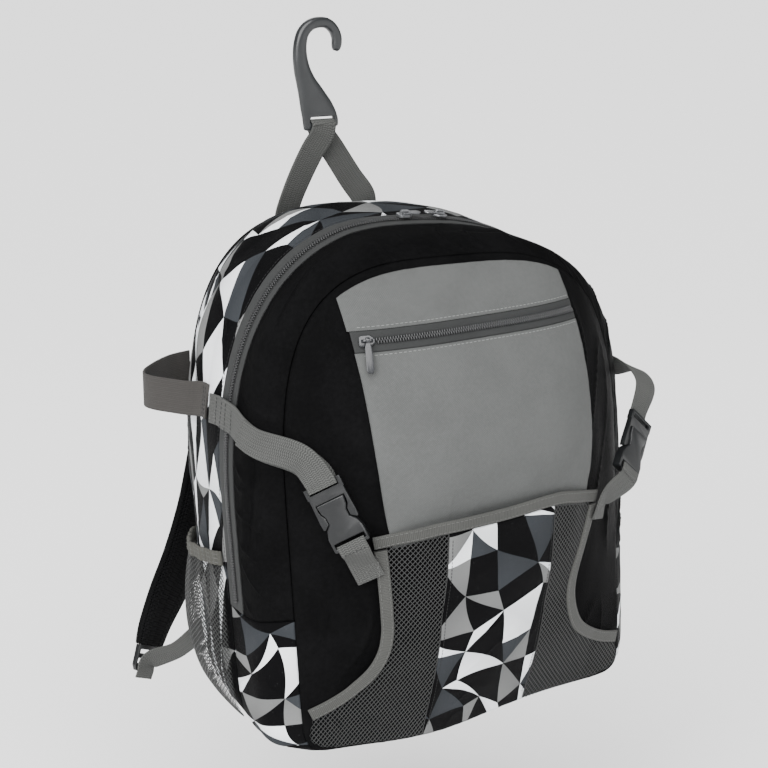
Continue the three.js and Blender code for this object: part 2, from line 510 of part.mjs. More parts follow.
// Apron pocket: printed centre, two net wings with arched free edges, grey bindings.
const BIND = 11;
function lowEdge(x) {
  const [, , half, , base] = RINGS[5].r;
  return WIDEST - (WIDEST - base) * 0.985 * Math.pow(1 - Math.pow(Math.abs(x / half), 14), 1 / 14);
}
const topEdge = (x) => table(APRON_TOP, x);
{
  const cols = span(-APRON_HALF + GAP, APRON_HALF - GAP, 6);
  const rows = span(0, 1, 13);
  const at = (x, f) => apron(x, lerp(lowEdge(x), topEdge(x) - GAP, f));
  add('apron_print', shell(rows.map((f) => cols.map((x) => at(x, f))), CLOTH), PRINT);
  for (const [side, name, col] of [[-1, 'left', 1], [1, 'right', 2]]) {
    // Free edge of the wing from the apron corner down and out to the front seam.
    const free = new THREE.CatmullRomCurve3(ARCH.map((r) => V(r[col], r[0], 0)), false, 'centripetal');
    const inward = (f, d) => {
      const p = free.getPointAt(f), t = free.getTangentAt(f);
      return [p.x + t.y * d, p.y - t.x * d];
    };
    // Each stop of the free edge is joined to a place on the centre panel's side or the base.
    const knee = 0.56;
    const te = (x) => topEdge(side * x) - 2 * GAP;
    const root = (f) => (f < knee ? [APRON_HALF + GAP, lerp(te(APRON_HALF), lowEdge(0), f / knee)]
      : [lerp(APRON_HALF + GAP, 0.4233 * WIDTH, (f - knee) / (1 - knee)), 0]);
    const wing = span(0, 1, 16).map((f) => {
      const a = root(f), b = inward(f, BIND + 1);
      if (f === 0) b[1] = te(b[0]);
      return span(0, 1, 5).map((k) => {
        const x = lerp(a[0], b[0], k), z = lerp(a[1], b[1], k);
        return apron(side * x, Math.max(z, lowEdge(x)));
      });
    });
    add(`apron_net_${name}`, shell(wing, 1.1), NET);
    const edge = span(0, 1, 18).map((f) => {
      const p = inward(f, BIND / 2);
      return [side * p[0], f === 0 ? te(p[0]) - 1 : p[1]];
    });
    add(`apron_arch_binding_${name}`, strip(apron, edge, BIND, 0.5, 2.2, [-0.5, 0.5]), BINDING);
  }
  const top = span(-0.2927 * WIDTH, 0.2927 * WIDTH, 18).map((x) => [x, topEdge(x) + BIND / 2 + GAP]);
  add('apron_top_binding', strip(apron, top, BIND, 0, 2.4), BINDING);
}

// Net side pockets with gathered elastic tops.
for (const [side, name] of [[-1, 'left'], [1, 'right']]) {
  const ss = [0.14, 0.35, 0.62, 0.9, 1.2, 1.5, 1.75, 1.93];
  const topZ = (s) => lerp(0.3084, 0.3537, s / 2) * HEIGHT;
  const BELLY = 0.0657 * DEPTH;
  const rows = span(0, 1, 8).map((f) => ss.map((s) => {
    const l = side * lerp(CORNER - 0.035, lapSide(topZ(s), s), f);
    const belly = Math.sin(Math.PI * clamp((s - 0.14) / 1.79)) ** 0.6;
    const puff = 3.2 + belly * (BELLY * Math.sin(Math.PI * (0.18 + 0.62 * f)) ** 1.2 - 2)
      + 0.8 * Math.cos(s * 22) * f * belly;
    return wall(l, s, puff);
  }));
  add(`side_net_${name}`, shell(rows, 1.1), NET);
  const band2 = [0, 1].map((k) => ss.map((s) => {
    const l = side * (lapSide(topZ(s), s) - 0.0015 - k * 0.035);
    const belly = Math.sin(Math.PI * clamp((s - 0.14) / 1.79)) ** 0.6;
    const puff = 3.4 + belly * (BELLY * Math.sin(Math.PI * 0.8) ** 1.2 - 2);
    return wall(l, s, puff + 0.8 * Math.cos(s * 22) * belly);
  }));
  add(`side_elastic_${name}`, shell(band2, 2.4), BINDING);
}
// Lap below the widest level where the wall is at height z.
function lapSide(z, s) {
  let lo = 0.7, hi = 1.5;
  for (let i = 0; i < 24; i++) {
    const mid = (lo + hi) / 2;
    if (bareWall(mid, s).z > z) lo = mid; else hi = mid;
  }
  return lo;
}

// Bat loops: stiff webbing standing off each back corner.
for (const [side, name] of [[-1, 'left'], [1, 'right']]) {
  const on = (s, z, lift) => wall(lapAt(z, s, side), s, lift);
  const stick = [[1.62, 2.4], [1.48, 2.6]].map(([k, lift]) => ({
    p: on(k, STRAP_LEVEL, lift), n: wallNormal(lapAt(STRAP_LEVEL, k, side), k),
  }));
  // Columns: outward place, depth, outward and backward parts of the face normal
  const free = sized([
    [0.5117, -0.4141, 0.9, -0.4], [0.5363, -0.3384, 0.88, -0.46], [0.557, -0.2626, 0.93, -0.35],
    [0.5622, -0.202, 1, 0.12], [0.5479, -0.1364, 0.78, 0.62], [0.5104, -0.0556, 0.66, 0.74],
    [0.4689, 0.0126, 0.58, 0.8], [0.4352, 0.053, 0.35, 0.93], [0.3886, 0.0783, 0.1, 1],
  ], WIDTH, DEPTH).map(([u, y, a, b]) => ({ p: slump(V(side * u, y, STRAP_LEVEL)), n: V(side * a, b, 0) }));
  add(`bat_loop_${name}`, band([...stick, ...free], 1.2 * WEB, 2.2, 22), 0x6b675f);
}

// Shoulder straps: padded, hanging down the back and sweeping out to the side at the foot.
for (const [side, name] of [[-1, 'left'], [1, 'right']]) {
  // Columns: outward place, depth behind the back seam, height, width
  const rows = sized([
    [0.1192, 0.0828, 0.907, 0.8788], [0.1321, 0.1086, 0.8707, 0.9394], [0.1606, 0.2323, 0.7937, 1],
    [0.1969, 0.303, 0.6803, 1], [0.2383, 0.3434, 0.5556, 1], [0.2798, 0.3535, 0.4308, 0.9848],
    [0.329, 0.3333, 0.322, 0.9394], [0.3912, 0.298, 0.2268, 0.8636], [0.4585, 0.2576, 0.1451, 0.7727],
    [0.5052, 0.2323, 0.0816, 0.6515], [0.5259, 0.2172, 0.0454, 0.5758],
  ], WIDTH, DEPTH, HEIGHT, STRAP);
  const pts = rows.map(([u, y, z]) => slump(V(side * u, y, z)));
  const curve = new THREE.CatmullRomCurve3(pts, false, 'centripetal');
  const count = 20, loops = [];
  for (let i = 0; i <= count; i++) {
    const f = i / count, p = curve.getPoint(f), T = curve.getTangent(f);
    const out = V(side * lerp(0.05, 0.45, f), 1, 0.1).normalize();
    const A = out.clone().cross(T).normalize(), N = T.clone().cross(A);
    const w = table(rows.map((r, k) => [k / (rows.length - 1), r[3]]), f) / 2;
    const t = (PAD / 2) * (i === 0 || i === count ? 0.75 : 1);
    const prof = [[-1, -0.35], [-1, 0.35], [-0.9, 0.8], [-0.6, 1], [0, 1.05], [0.6, 1], [0.9, 0.8], [1, 0.35],
      [1, -0.35], [0.9, -0.8], [0.6, -1], [0, -1.05], [-0.6, -1], [-0.9, -0.8]];
    loops.push(prof.map(([a, b]) => p.clone().addScaledVector(A, a * w).addScaledVector(N, b * t)));
  }
  add(`shoulder_strap_${name}`, loft(loops), BLACK);
  // Plastic ladder lock at the foot of the pad and webbing back to the base corner.
  const end = curve.getPoint(1), T = curve.getTangent(1), out = V(side * 0.45, 1, 0.1).normalize();
  const lock = plate(sized([
    [0.024, -0.68], [0.8, -0.6], [1, -0.44], [1, 0.44], [0.8, 0.6], [0.024, 0.68],
  ], WEB, WEB), 0.16 * WEB, [
    sized([[0.18, -0.504], [0.34, -0.504], [0.34, 0.504], [0.18, 0.504]], WEB, WEB),
    sized([[0.52, -0.516], [0.72, -0.516], [0.72, 0.516], [0.52, 0.516]], WEB, WEB),
  ]);
  const Fm = frameAt(end, T, out.clone().sub(T.clone().multiplyScalar(out.dot(T))));
  add(`strap_lock_${name}`, lock, PLASTIC, 0.5, 0, Fm);
  const local = (x, z) => V(x * WEB, 0, z * WEB).applyMatrix4(Fm);
  const N = V(0, 0, 1).transformDirection(Fm);
  const tip = local(0.62, -0.148), foot = slump(V(side * 0.386 * WIDTH, 0.0384 * DEPTH, 0.0998 * HEIGHT));
  const turn = slump(V(side * 0.4145 * WIDTH, 0.048 * DEPTH, 0.0907 * HEIGHT));
  const stops = [{ p: foot, n: V(side * 0.2, 1, 0) }, { p: turn, n: V(side * 0.1, 1, 0.1) },
    { p: foot.clone().lerp(tip, 0.55).add(V(0, 2, -6)), n: V(0, 0.9, 0.3) }, { p: tip, n: N.clone() },
    { p: local(0.96, -0.156), n: N.clone() }, { p: local(1.24, -0.144), n: N.clone() }];
  add(`strap_webbing_${name}`, band(stops, 0.976 * WEB, WEB_T, 14), WEBBING);
}

// Compression straps, each fastened to its apron corner by a side release buckle.
// Buckle local axes: x from the upper bar to the lower bar, y across, z off the cloth.
// Their outlines are shares of the webbing's width.
const sheet = (outline, t, holes = []) => (
  plate(sized(outline, WEB, WEB), t * WEB, holes.map((h) => sized(h, WEB, WEB)))
);
const arm = (s) => sheet([
  [0.56, 0.504], [0.56, 0.608], [0.88, 0.616], [1.2, 0.632], [1.424, 0.616], [1.448, 0.568], [1.32, 0.392],
  [1.088, 0.392], [0.944, 0.48], [0.8, 0.508],
].map(([x, y]) => [x, s * y]), 0.2);
const plug = join(
  sheet([[0, -0.64], [0.36, -0.64], [0.36, 0.64], [0, 0.64]], 0.2, [[
    [0.104, -0.512], [0.248, -0.512], [0.248, 0.512], [0.104, 0.512],
  ]]),
  block(0.264 * WEB, 1.216 * WEB, 0.2 * WEB, 0.472 * WEB), arm(1), arm(-1),
);
const socket = cut(sheet([
  [0.62, -0.48], [0.92, -0.44], [1.08, -0.36], [1.32, -0.36], [1.48, -0.52], [1.76, -0.62], [2.24, -0.62],
  [2.28, -0.56], [2.28, 0.56], [2.24, 0.62], [1.76, 0.62], [1.48, 0.52], [1.32, 0.36], [1.08, 0.36],
  [0.92, 0.44], [0.62, 0.48],
], 0.336), block(0.16 * WEB, 1.04 * WEB, 0.48 * WEB, 2.072 * WEB));
const place = (x, y, z) => V(x * WIDTH, y * DEPTH, z * HEIGHT);
const buckles = {
  left: { a: place(-0.386, -1.1263, 0.5669), b: place(-0.3342, -1.2273, 0.4444), n: V(-0.56, -0.82, 0.1) },
  right: { a: place(0.4845, -1.0581, 0.5714), b: place(0.3886, -1.1768, 0.4671), n: V(0.08, -0.98, -0.06) },
};
for (const name of ['left', 'right']) {
  const { a, b, n } = buckles[name], F = frameAt(slump(a), b.clone().sub(a), n);
  add(`buckle_plug_${name}`, plug, PLASTIC, 0.45, 0, F);
  add(`buckle_socket_${name}`, socket, PLASTIC, 0.45, 0, F);
}
const inBuckle = (name, x, z) => {
  const { a, b, n } = buckles[name];
  return V(x * WEB, 0, z * WEB).applyMatrix4(frameAt(slump(a), b.clone().sub(a), n));
};
const ns = (name) => buckles[name].n.clone().normalize();
{
  const on = (s, z, lift, side = -1) => ({
    p: wall(lapAt(z * HEIGHT, s, side), s, lift), n: wallNormal(lapAt(z * HEIGHT, s, side), s),
  });
  const atBuckle = (name, x, z) => ({ p: inBuckle(name, x, z), n: ns(name) });
  const wrap = V(-0.72, -0.68, 0.1);
  const bend = (x, z, lift) => ({ p: face(x * WIDTH, z * HEIGHT, lift), n: wrap.clone() });
  const left = [on(1.7, 0.6576, 2.2), on(1.88, 0.6599, 2.6), on(2.08, 0.6621, 3.8), on(2.5, 0.6621, 5.6),
    on(3.1, 0.6576, 3.6), on(3.7, 0.6463, 3.2), on(4.3, 0.6281, 3.4), bend(-0.4041, 0.6054, 5.2),
    atBuckle('left', -0.24, -0.156), atBuckle('left', 0.176, -0.168)];
  add('compression_strap_left', band(left, WEB, WEB_T, 30), WEBBING);
  const right = [on(1.7, 0.6553, 1.75, 1), on(1.88, 0.6553, 3, 1), on(2.05, 0.6553, 4.6, 1),
    { p: slump(place(0.5207, -0.7576, 0.6599)), n: V(0.9, -0.15, 0.45) },
    { p: slump(place(0.5415, -0.8687, 0.6576)), n: V(0.45, -0.5, 0.75) },
    { p: slump(place(0.5337, -0.9747, 0.6304)), n: V(0.2, -0.88, 0.42) },
    { p: inBuckle('right', -0.32, -0.168), n: ns('right').add(V(0.05, 0, 0)) },
    atBuckle('right', 0.176, -0.172)];
  add('compression_strap_right', band(right, WEB, WEB_T, 30), WEBBING);
  // The left strap's free end lies back on top of it.
  const tail = [atBuckle('left', 0.176, 0.156), atBuckle('left', -0.12, 0.176),
    bend(-0.399, 0.61, 10.5), on(4.3, 0.6327, 7.2), on(3.75, 0.6463, 6.4)];
  add('strap_tail_left', band(tail, WEB, WEB_T, 14), WEBBING);
  for (const [side, name] of [[-1, 'left'], [1, 'right']]) {
    const low = side < 0 ? 3.1 : 2.6;
    const foot = side < 0 ? [[-0.3109, 0.4104], [-0.2953, 0.3741]] : [[0.3057, 0.4376], [0.2927, 0.3991]];
    const [over, end] = sized(foot, WIDTH, HEIGHT);
    const stops = [[2.072, 0.22], [2.28, 0.236], [2.48, 0.192]].map(([x, z]) => atBuckle(name, x, z));
    stops.push({ p: apron(...over, 5.4), n: apronNormal(...over) });
    stops.push({ p: apron(...end, low), n: apronNormal(...end) });
    add(`apron_tab_${name}`, band(stops, WEB - 1, WEB_T, 8), WEBBING);
  }
}

// Hook loop: a taut inverted V of webbing threaded through the hook's slot.
{
  const bar = BEARING[2] - 0.9084 * HOOK, mid = -0.029 * WIDTH, d = BEARING[1];
  // Up in front of the hook's lower bar, over it through the slot and down behind it.
  const rising = sized([
    [-0.1166, 0.0677, 0.9206], [-0.1166, 0.0465, 0.9615], [-0.1114, 0.0172, 0.9932],
    [-0.092, -0.0081, 1.0385], [-0.0583, -0.0354, 1.0975],
  ], WIDTH, DEPTH, HEIGHT);
  const falling = sized([
    [0.0052, 0.003, 1.093], [0.0505, 0.0091, 1.0317], [0.0868, 0.0172, 0.9864],
    [0.0959, 0.0465, 0.9546], [0.0959, 0.0677, 0.9138],
  ], WIDTH, DEPTH, HEIGHT);
  const round = sized([
    [-0.0316, -0.0526, -0.0842], [0, -0.0537, 0], [0, -0.0495, 0.0379], [0, 0, 0.0579],
    [0, 0.0495, 0.0379], [0, 0.0537, 0], [0.0316, 0.0526, -0.0842],
  ], HOOK, HOOK, HOOK).map(([x, y, z]) => [mid + x, d + y, bar + z]);
  const nx = [[0, 1, 0.1], [0, 1, 0.25], [0, 1, 0.3], [0, 1, 0.1], [0, 1, 0], [0, 1, 0], [0, 1, 0],
    [0, 0.7, -0.7], [0, 0, -1], [0, -0.7, -0.7], [0, -1, 0], [0, -1, 0], [0, -1, 0], [0, -1, -0.1],
    [0, -1, -0.3], [0, -1, -0.25], [0, -1, -0.1]];
  const stops = [...rising, ...round, ...falling].map(([x, y, z], i) => ({
    p: V(x + LEAN * (z - WIDEST), y, z), n: V(...nx[i]),
  }));
  add('hook_loop', band(stops, LOOP_WEB, WEB_T, 40), WEBBING);
}
// Fence hook: flat body with a slot, shank and a round curl. Drawn in its own plane with the
// bearing at (0, 0): centre line x, z, half width in the plane, half thickness.
{
  const spine = sized([
    //  x     z    half  thick
    [0.16, -0.2158, 0.0316, 0.0274], [0.1726, -0.1684, 0.0463, 0.0379], [0.1747, -0.0947, 0.0484, 0.0421],
    [0.1411, -0.0168, 0.0484, 0.0442], [0.0716, 0.04, 0.0495, 0.0453], [-0.0189, 0.0516, 0.0505, 0.0463],
    [-0.1116, 0.0274, 0.0526, 0.0474], [-0.1811, -0.0379, 0.0558, 0.0484],
    [-0.2126, -0.1368, 0.0611, 0.0495], [-0.2168, -0.2526, 0.0684, 0.0505],
    [-0.1958, -0.3789, 0.08, 0.0505], [-0.1558, -0.4947, 0.0989, 0.0484], [-0.1095, -0.6, 0.1284, 0.0453],
    [-0.0695, -0.6947, 0.1558, 0.0411], [-0.0379, -0.7684, 0.1726, 0.0379],
    [-0.0126, -0.8421, 0.1853, 0.0358], [0.0021, -0.9053, 0.1853, 0.0337], [0.0063, -0.9421, 0.1684, 0.0274],
  ], HOOK, HOOK, HOOK, HOOK);
  const loops = spine.map(([x, z, half, thick], i) => {
    const a = spine[Math.max(0, i - 1)], b = spine[Math.min(spine.length - 1, i + 1)];
    const T = V(b[0] - a[0], 0, b[1] - a[1]).normalize(), A = V(T.z, 0, -T.x);
    return span(0, 1, 12).slice(0, 12).map((f) => {
      const w = f * 2 * Math.PI, c = Math.cos(w), s = Math.sin(w);
      const e = (v) => Math.sign(v) * Math.abs(v) ** 0.75;
      return V(x, 0, z).addScaledVector(A, e(c) * half).add(V(0, e(s) * thick, 0));
    });
  });
  const hook = cut(loft(loops), block(1.05 * LOOP_WEB, 12, 5.4, 0.2, 0, -0.8474 * HOOK));
  add('fence_hook', hook, 0x5f6366, 0.35, 0.1, new THREE.Matrix4().setPosition(V(...BEARING)));
}

bag.position.set(-BEARING[0], -BEARING[1], -BEARING[2]);
export default bag;
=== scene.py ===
"""Baseball bat backpack hanging by its fence hook.

Every piece is worked out in millimetres in the bag's layout frame (z = 0 at the base, y = 0 at
the back panel, the front towards -y) and then moved so that the hook's bearing is the origin.
"""
import logging
import math
from contextlib import contextmanager
from dataclasses import dataclass, field
from enum import Enum
from typing import Callable, Iterator, Optional, Sequence

import bmesh
import bpy
import numpy as np
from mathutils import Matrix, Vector
from mathutils.bvhtree import BVHTree


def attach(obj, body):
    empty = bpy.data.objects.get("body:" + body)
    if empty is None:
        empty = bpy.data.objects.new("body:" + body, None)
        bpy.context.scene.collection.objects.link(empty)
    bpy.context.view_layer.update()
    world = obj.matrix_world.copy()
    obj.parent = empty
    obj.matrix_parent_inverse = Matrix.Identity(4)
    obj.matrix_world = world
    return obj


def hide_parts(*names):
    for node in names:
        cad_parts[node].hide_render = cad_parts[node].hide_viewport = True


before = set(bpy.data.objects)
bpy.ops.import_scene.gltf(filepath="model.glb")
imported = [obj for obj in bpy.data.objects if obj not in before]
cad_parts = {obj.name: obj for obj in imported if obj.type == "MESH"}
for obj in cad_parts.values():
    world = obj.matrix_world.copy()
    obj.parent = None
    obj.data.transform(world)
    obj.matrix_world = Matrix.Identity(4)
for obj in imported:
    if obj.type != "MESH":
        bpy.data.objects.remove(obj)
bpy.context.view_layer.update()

LOG = logging.getLogger("bat_backpack")
MM = 0.001
BEARING = np.array([-29.0, -5.0, 591.0])  # where the hook rests on its rail, layout frame
Array = np.ndarray


# Small maths
def vec(*values: float) -> Array:
    """A point or direction from its three numbers."""
    return np.array(values, dtype=float)


def unit(v: Array) -> Array:
    """The vectors of an array, each divided by its own length."""
    return v / np.maximum(np.linalg.norm(v, axis=-1, keepdims=True), 1e-9)


def clamp(v: Array, low: float = 0.0, high: float = 1.0) -> Array:
    """Values kept between two limits."""
    return np.clip(v, low, high)


def mix(a: Array, b: Array, t: Array) -> Array:
    """A straight blend from a, at t = 0, to b, at t = 1."""
    return a + (b - a) * t


def grid_points(rows: Array, columns: Array) -> Sequence[Array]:
    """Each grid point's row value and its column value, as two arrays."""
    return np.meshgrid(rows, columns, indexing="ij")


def alike(*values: object) -> Sequence[Array]:
    """Numbers or arrays of numbers as arrays of one shape."""
    return np.broadcast_arrays(*(np.asarray(v, float) for v in values))


def squared(value: Array, power: float) -> Array:
    """A value's size raised to a power with its sign kept, which squares off a round section."""
    return np.sign(value) * np.abs(value) ** power


def walked(points: Array) -> Array:
    """Length walked along a polyline up to each of its points."""
    return np.r_[0, np.cumsum(np.linalg.norm(np.diff(points, axis=0), axis=1))]


def sample(want: Array, at: Array, values: Array) -> Array:
    """Rows of values that are known at rising places, read at the wanted places."""
    return np.stack([np.interp(want, at, values[:, k]) for k in range(values.shape[1])], 1)


def table(rows: Sequence[Sequence[float]], x: Array, column: int = 1) -> Array:
    """Straight-line reading of a table whose first column rises."""
    data = np.asarray(rows, dtype=float)
    return np.interp(x, data[:, 0], data[:, column])


def noise(u: Array, v: Array, seed: int = 0) -> Array:
    """Smooth gradient noise of about -1 to 1 on a lattice one unit wide.

    Each lattice point holds a random direction. The value is the blend of the four dot
    products with the corner directions, eased by 6t^5 - 15t^4 + 10t^3.
    """
    turn = np.random.default_rng(seed).random((67, 61)) * 2 * np.pi
    i, j = np.floor(u).astype(int), np.floor(v).astype(int)
    fu, fv = u - i, v - j
    su, sv = (w * w * w * (w * (w * 6 - 15) + 10) for w in (fu, fv))

    def corner(di: int, dj: int) -> Array:
        """Dot product with the direction held by one corner of the cell."""
        a = turn[(i + di) % 67, (j + dj) % 61]
        return np.cos(a) * (fu - di) + np.sin(a) * (fv - dj)

    return 1.5 * mix(mix(corner(0, 0), corner(1, 0), su), mix(corner(0, 1), corner(1, 1), su), sv)


def spline(points: Sequence[Array], f: Array) -> Array:
    """Centripetal Catmull-Rom curve through points.

    Args:
        points: the places passed through, in order.
        f: positions from 0 to 1, where each stretch between two places takes an equal share.

    Returns:
        One point for each value of f.
    """
    p = np.asarray(points, dtype=float)
    p = np.vstack([2 * p[0] - p[1], p, 2 * p[-1] - p[-2]])
    t = np.clip(np.asarray(f, dtype=float), 0, 1) * (len(p) - 3)
    k = np.minimum(t.astype(int), len(p) - 4)
    w = (t - k)[:, None]
    a, b, c, d = (p[k + i] for i in range(4))
    d0, d1, d2 = (np.maximum(np.linalg.norm(y - x, axis=1) ** 0.5, 1e-4)[:, None]
                  for x, y in ((a, b), (b, c), (c, d)))
    m1 = ((b - a) / d0 - (c - a) / (d0 + d1) + (c - b) / d1) * d1
    m2 = ((c - b) / d1 - (d - b) / (d1 + d2) + (d - c) / d2) * d1
    return b + m1 * w + (3 * (c - b) - 2 * m1 - m2) * w**2 + (2 * (b - c) + m1 + m2) * w**3


def even(points: Array, count: int) -> Array:
    """Points at even steps of length along a polyline, resampled to count points."""
    step = walked(points)
    return sample(np.linspace(0, step[-1], count), step, points)


# The bag's form
@dataclass(frozen=True)
class Ring:
    """Cross ring of the body: two half superellipses that meet at the widest level."""

    y_top: float
    y_base: float
    half: float
    top: float
    base: float
    n_top: float
    n_base: float

    def quarter(self, rise: float, n: float) -> tuple[Array, Array, Array]:
        """A quarter superellipse walked from its pole to the widest level by length.

        Args:
            rise: height of the quarter.
            n: squareness, the power in |x/half|^n + |h/rise|^n = 1.

        Returns:
            Share of the length, sideways place and height, each an array.
        """
        w = (np.pi / 2) * (1 - np.linspace(0, 1, 700))
        c, s = np.maximum(np.cos(w), 0), np.sin(w)
        r = 1 / ((c / self.half) ** n + (s / rise) ** n) ** (1 / n)
        x, h = r * c, r * s
        step = np.r_[0, np.cumsum(np.hypot(np.diff(x), np.diff(h)))]
        return step / step[-1], x, h


@dataclass(frozen=True)
class BagForm:
    """The loaded bag's surfaces as functions of two parameters, in mm."""

    height: float = 441.0
    widest: float = 190.0
    lean: float = -0.055
    droop: float = 14.0
    zip_end: float = 1.19
    corner: float = 1.52
    rings: tuple = (
        Ring(0, 0, 160, 430, 18, 2.85, 7), Ring(-58, -60, 189, 446, 10, 2.75, 9),
        Ring(-121, -132, 193, 443, 3, 2.6, 13), Ring(-146, -156, 193, 439, 1, 2.6, 16),
        Ring(-175, -176, 188, 432, 1, 3.1, 20), Ring(-192, -198, 168, 417, 2, 3.4, 18))
    # lap, ring, reach along, reach across, turn, depth
    folds: tuple = (
        (-0.52, 0.62, 46, 14, 0.5, -4.5), (-0.74, 1.15, 60, 13, -0.35, -4.0),
        (-0.30, 1.30, 40, 16, 0.25, -3.5), (0.28, 0.95, 46, 15, -0.3, -4.5),
        (0.60, 1.10, 60, 15, 0.35, -4.0), (-1.02, 0.80, 70, 16, 0.15, -3.5),
        (1.02, 0.85, 70, 16, -0.15, -3.5), (-0.62, 0.20, 34, 12, 0.2, -3.0),
        (-0.88, 3.90, 48, 12, 0.3, -4.0), (0.90, 3.95, 48, 12, -0.3, -4.0),
        (-0.42, 3.90, 40, 11, -0.4, -3.0), (0.20, 3.80, 60, 12, 0.2, -3.0))
    dome: tuple = ((-8, 6), (0, 12), (60, 28), (120, 40), (200, 56), (255, 64), (330, 68),
                   (370, 66), (420, 60))
    dents: tuple = ((-128, 300, 16, 60, -5), (132, 250, 14, 60, -4), (-60, 120, 40, 30, -4),
                    (70, 110, 40, 30, -4))
    apron_stand: tuple = ((-12, 2.4), (0, 5), (40, 12), (100, 16), (160, 15), (215, 11))
    heart: tuple = (0.0, -95.0, 200.0)

    def ring_point(self, k: int, lap: Array) -> Array:
        """Point of ring k: lap 0 is the top centre, 1 the widest level, 2 the base centre."""
        ring, q = self.rings[int(np.clip(k, 0, 5))], np.abs(lap)
        su, xu, hu = ring.quarter(ring.top - self.widest, ring.n_top)
        sl, xl, hl = ring.quarter(self.widest - ring.base, ring.n_base)
        upper = q <= 1
        x = np.where(upper, np.interp(q, su, xu), np.interp(2 - q, sl, xl))
        z = self.widest + np.where(upper, np.interp(q, su, hu), -np.interp(2 - q, sl, hl))
        y = mix(ring.y_base, ring.y_top, z / self.height)
        return np.stack([np.where(lap < 0, -1, 1) * x, y, z], -1)

    def slump(self, p: Array) -> Array:
        """Lean of the loaded body, droop of its far top corner and sag of its base."""
        x, y, z = p[..., 0], p[..., 1], p[..., 2]
        forward = clamp((-y - 150) / 45)
        droop = self.droop * clamp((x + 70) / 240) * clamp((z - 200) / 240) * (1 - 0.6 * forward)
        sag = 12 * np.exp(-(((x + 45) / 75) ** 2)) * clamp(1 - z / 70) * clamp(-y / 190)
        return np.stack([x + self.lean * (z - self.widest), y, z - droop - sag], -1)

    def fold_depth(self, lap: Array, s: Array) -> Array:
        """Sum of soft bell-shaped folds, faded out at the zip and at the seams."""
        d = np.zeros(np.broadcast(lap, s).shape)
        for fl, fs, along, across, turn, depth in self.folds:
            a, b = (lap - fl) * 370, (s - fs) * 60
            u, v = a * math.cos(turn) + b * math.sin(turn), b * math.cos(turn) - a * math.sin(turn)
            d = d + depth * np.exp(-((u / along) ** 2) - (v / across) ** 2)
        return d * clamp(np.abs(s - 2.5) / 0.9 - 0.5) * clamp((5 - s) * 2) * clamp(s * 3)

    def bare_wall(self, lap: Array, s: Array) -> Array:
        """Wall between the rings: a cubic through the rings with the neighbours' slopes."""
        lap, s = alike(lap, s)
        rings = np.stack([self.ring_point(i, lap) for i in range(6)])
        k = np.clip(np.floor(s).astype(int), 0, 4)
        t = (s - k)[..., None]
        pick = [np.take_along_axis(rings, np.clip(k + i, 0, 5)[None, ..., None], 0)[0]
                for i in (-1, 0, 1, 2)]
        a, b, c, d = pick
        m1 = (c - a) * np.where(k == 0, 1.0, 0.5)[..., None]
        m2 = (d - b) * np.where(k == 4, 1.0, 0.5)[..., None]
        return (b * (2 * t**3 - 3 * t**2 + 1) + m1 * (t**3 - 2 * t**2 + t)
                + c * (3 * t**2 - 2 * t**3) + m2 * (t**3 - t**2))

    def normal(self, fn: Callable, a: Array, b: Array, da: float, db: float) -> Array:
        """Unit normal by central differences, turned away from the bag's middle."""
        n = unit(np.cross(fn(a + da, b) - fn(a - da, b), fn(a, b + db) - fn(a, b - db)))
        p = (fn(a, b) - np.array(self.heart)) * np.array([1, 1, 0.6])
        return n * np.where((n * p).sum(-1, keepdims=True) < 0, -1.0, 1.0)

    def wall_at(self, lap: Array, s: Array) -> Array:
        """Wall with its folds and slump, s from 0 at the back seam to 5 at the front seam."""
        lap, s = alike(lap, s)
        n = self.normal(lambda a, b: self.bare_wall(a, np.clip(b, 0, 5)), lap,
                        np.clip(s, 0.03, 4.97), 0.01, 0.02)
        return self.slump(self.bare_wall(lap, s) + n * self.fold_depth(lap, s)[..., None])

    def wall_normal(self, lap: Array, s: Array) -> Array:
        """Outward normal of the finished wall."""
        return self.normal(self.wall_at, lap, np.clip(s, 0.03, 4.97), 0.01, 0.02)

    def wall(self, lap: Array, s: Array, lift: Array = 0.0) -> Array:
        """Wall raised by lift mm along its normal."""
        lap, s = alike(lap, s)
        lift = np.broadcast_to(np.asarray(lift, float), lap.shape)[..., None]
        return self.wall_at(lap, s) + self.wall_normal(lap, s) * lift

    def lap_at(self, z: float, s: float, low: float = 0.0, high: float = 1.5) -> float:
        """Lap at which ring position s comes down to height z."""
        laps = np.linspace(low, high, 900)
        heights = self.bare_wall(laps, np.full_like(laps, s))[:, 2]
        return float(np.interp(-z, -heights, laps))

    def gauge(self, x: Array, z: Array) -> Array:
        """1 on the front seam and 0 at its middle."""
        r = self.rings[5]
        h = z - self.widest
        n = np.where(h >= 0, r.n_top, r.n_base)
        b = np.where(h >= 0, r.top - self.widest, self.widest - r.base)
        return (np.abs(x / r.half) ** n + np.abs(h / b) ** n) ** (1 / n)

    def bare_face(self, x: Array, z: Array) -> Array:
        """Front face: the front seam's plane, domed by the dome table times 1 - gauge^3."""
        x, z = alike(x, z)
        r, g = self.rings[5], clamp(self.gauge(x, z))
        y = mix(r.y_base, r.y_top, z / self.height) - table(self.dome, z) * (1 - g**3)
        for dx, dz, rx, rz, depth in self.dents:
            y = y - depth * np.exp(-(((x - dx) / rx) ** 2) - ((z - dz) / rz) ** 2) * (1 - g**6)
        return np.stack([x, y, z], -1)

    def face_at(self, x: Array, z: Array) -> Array:
        """Front face after the slump."""
        return self.slump(self.bare_face(x, z))

    def face_normal(self, x: Array, z: Array) -> Array:
        """Outward normal of the front face."""
        return self.normal(self.face_at, np.asarray(x, float), np.asarray(z, float), 2, 2)

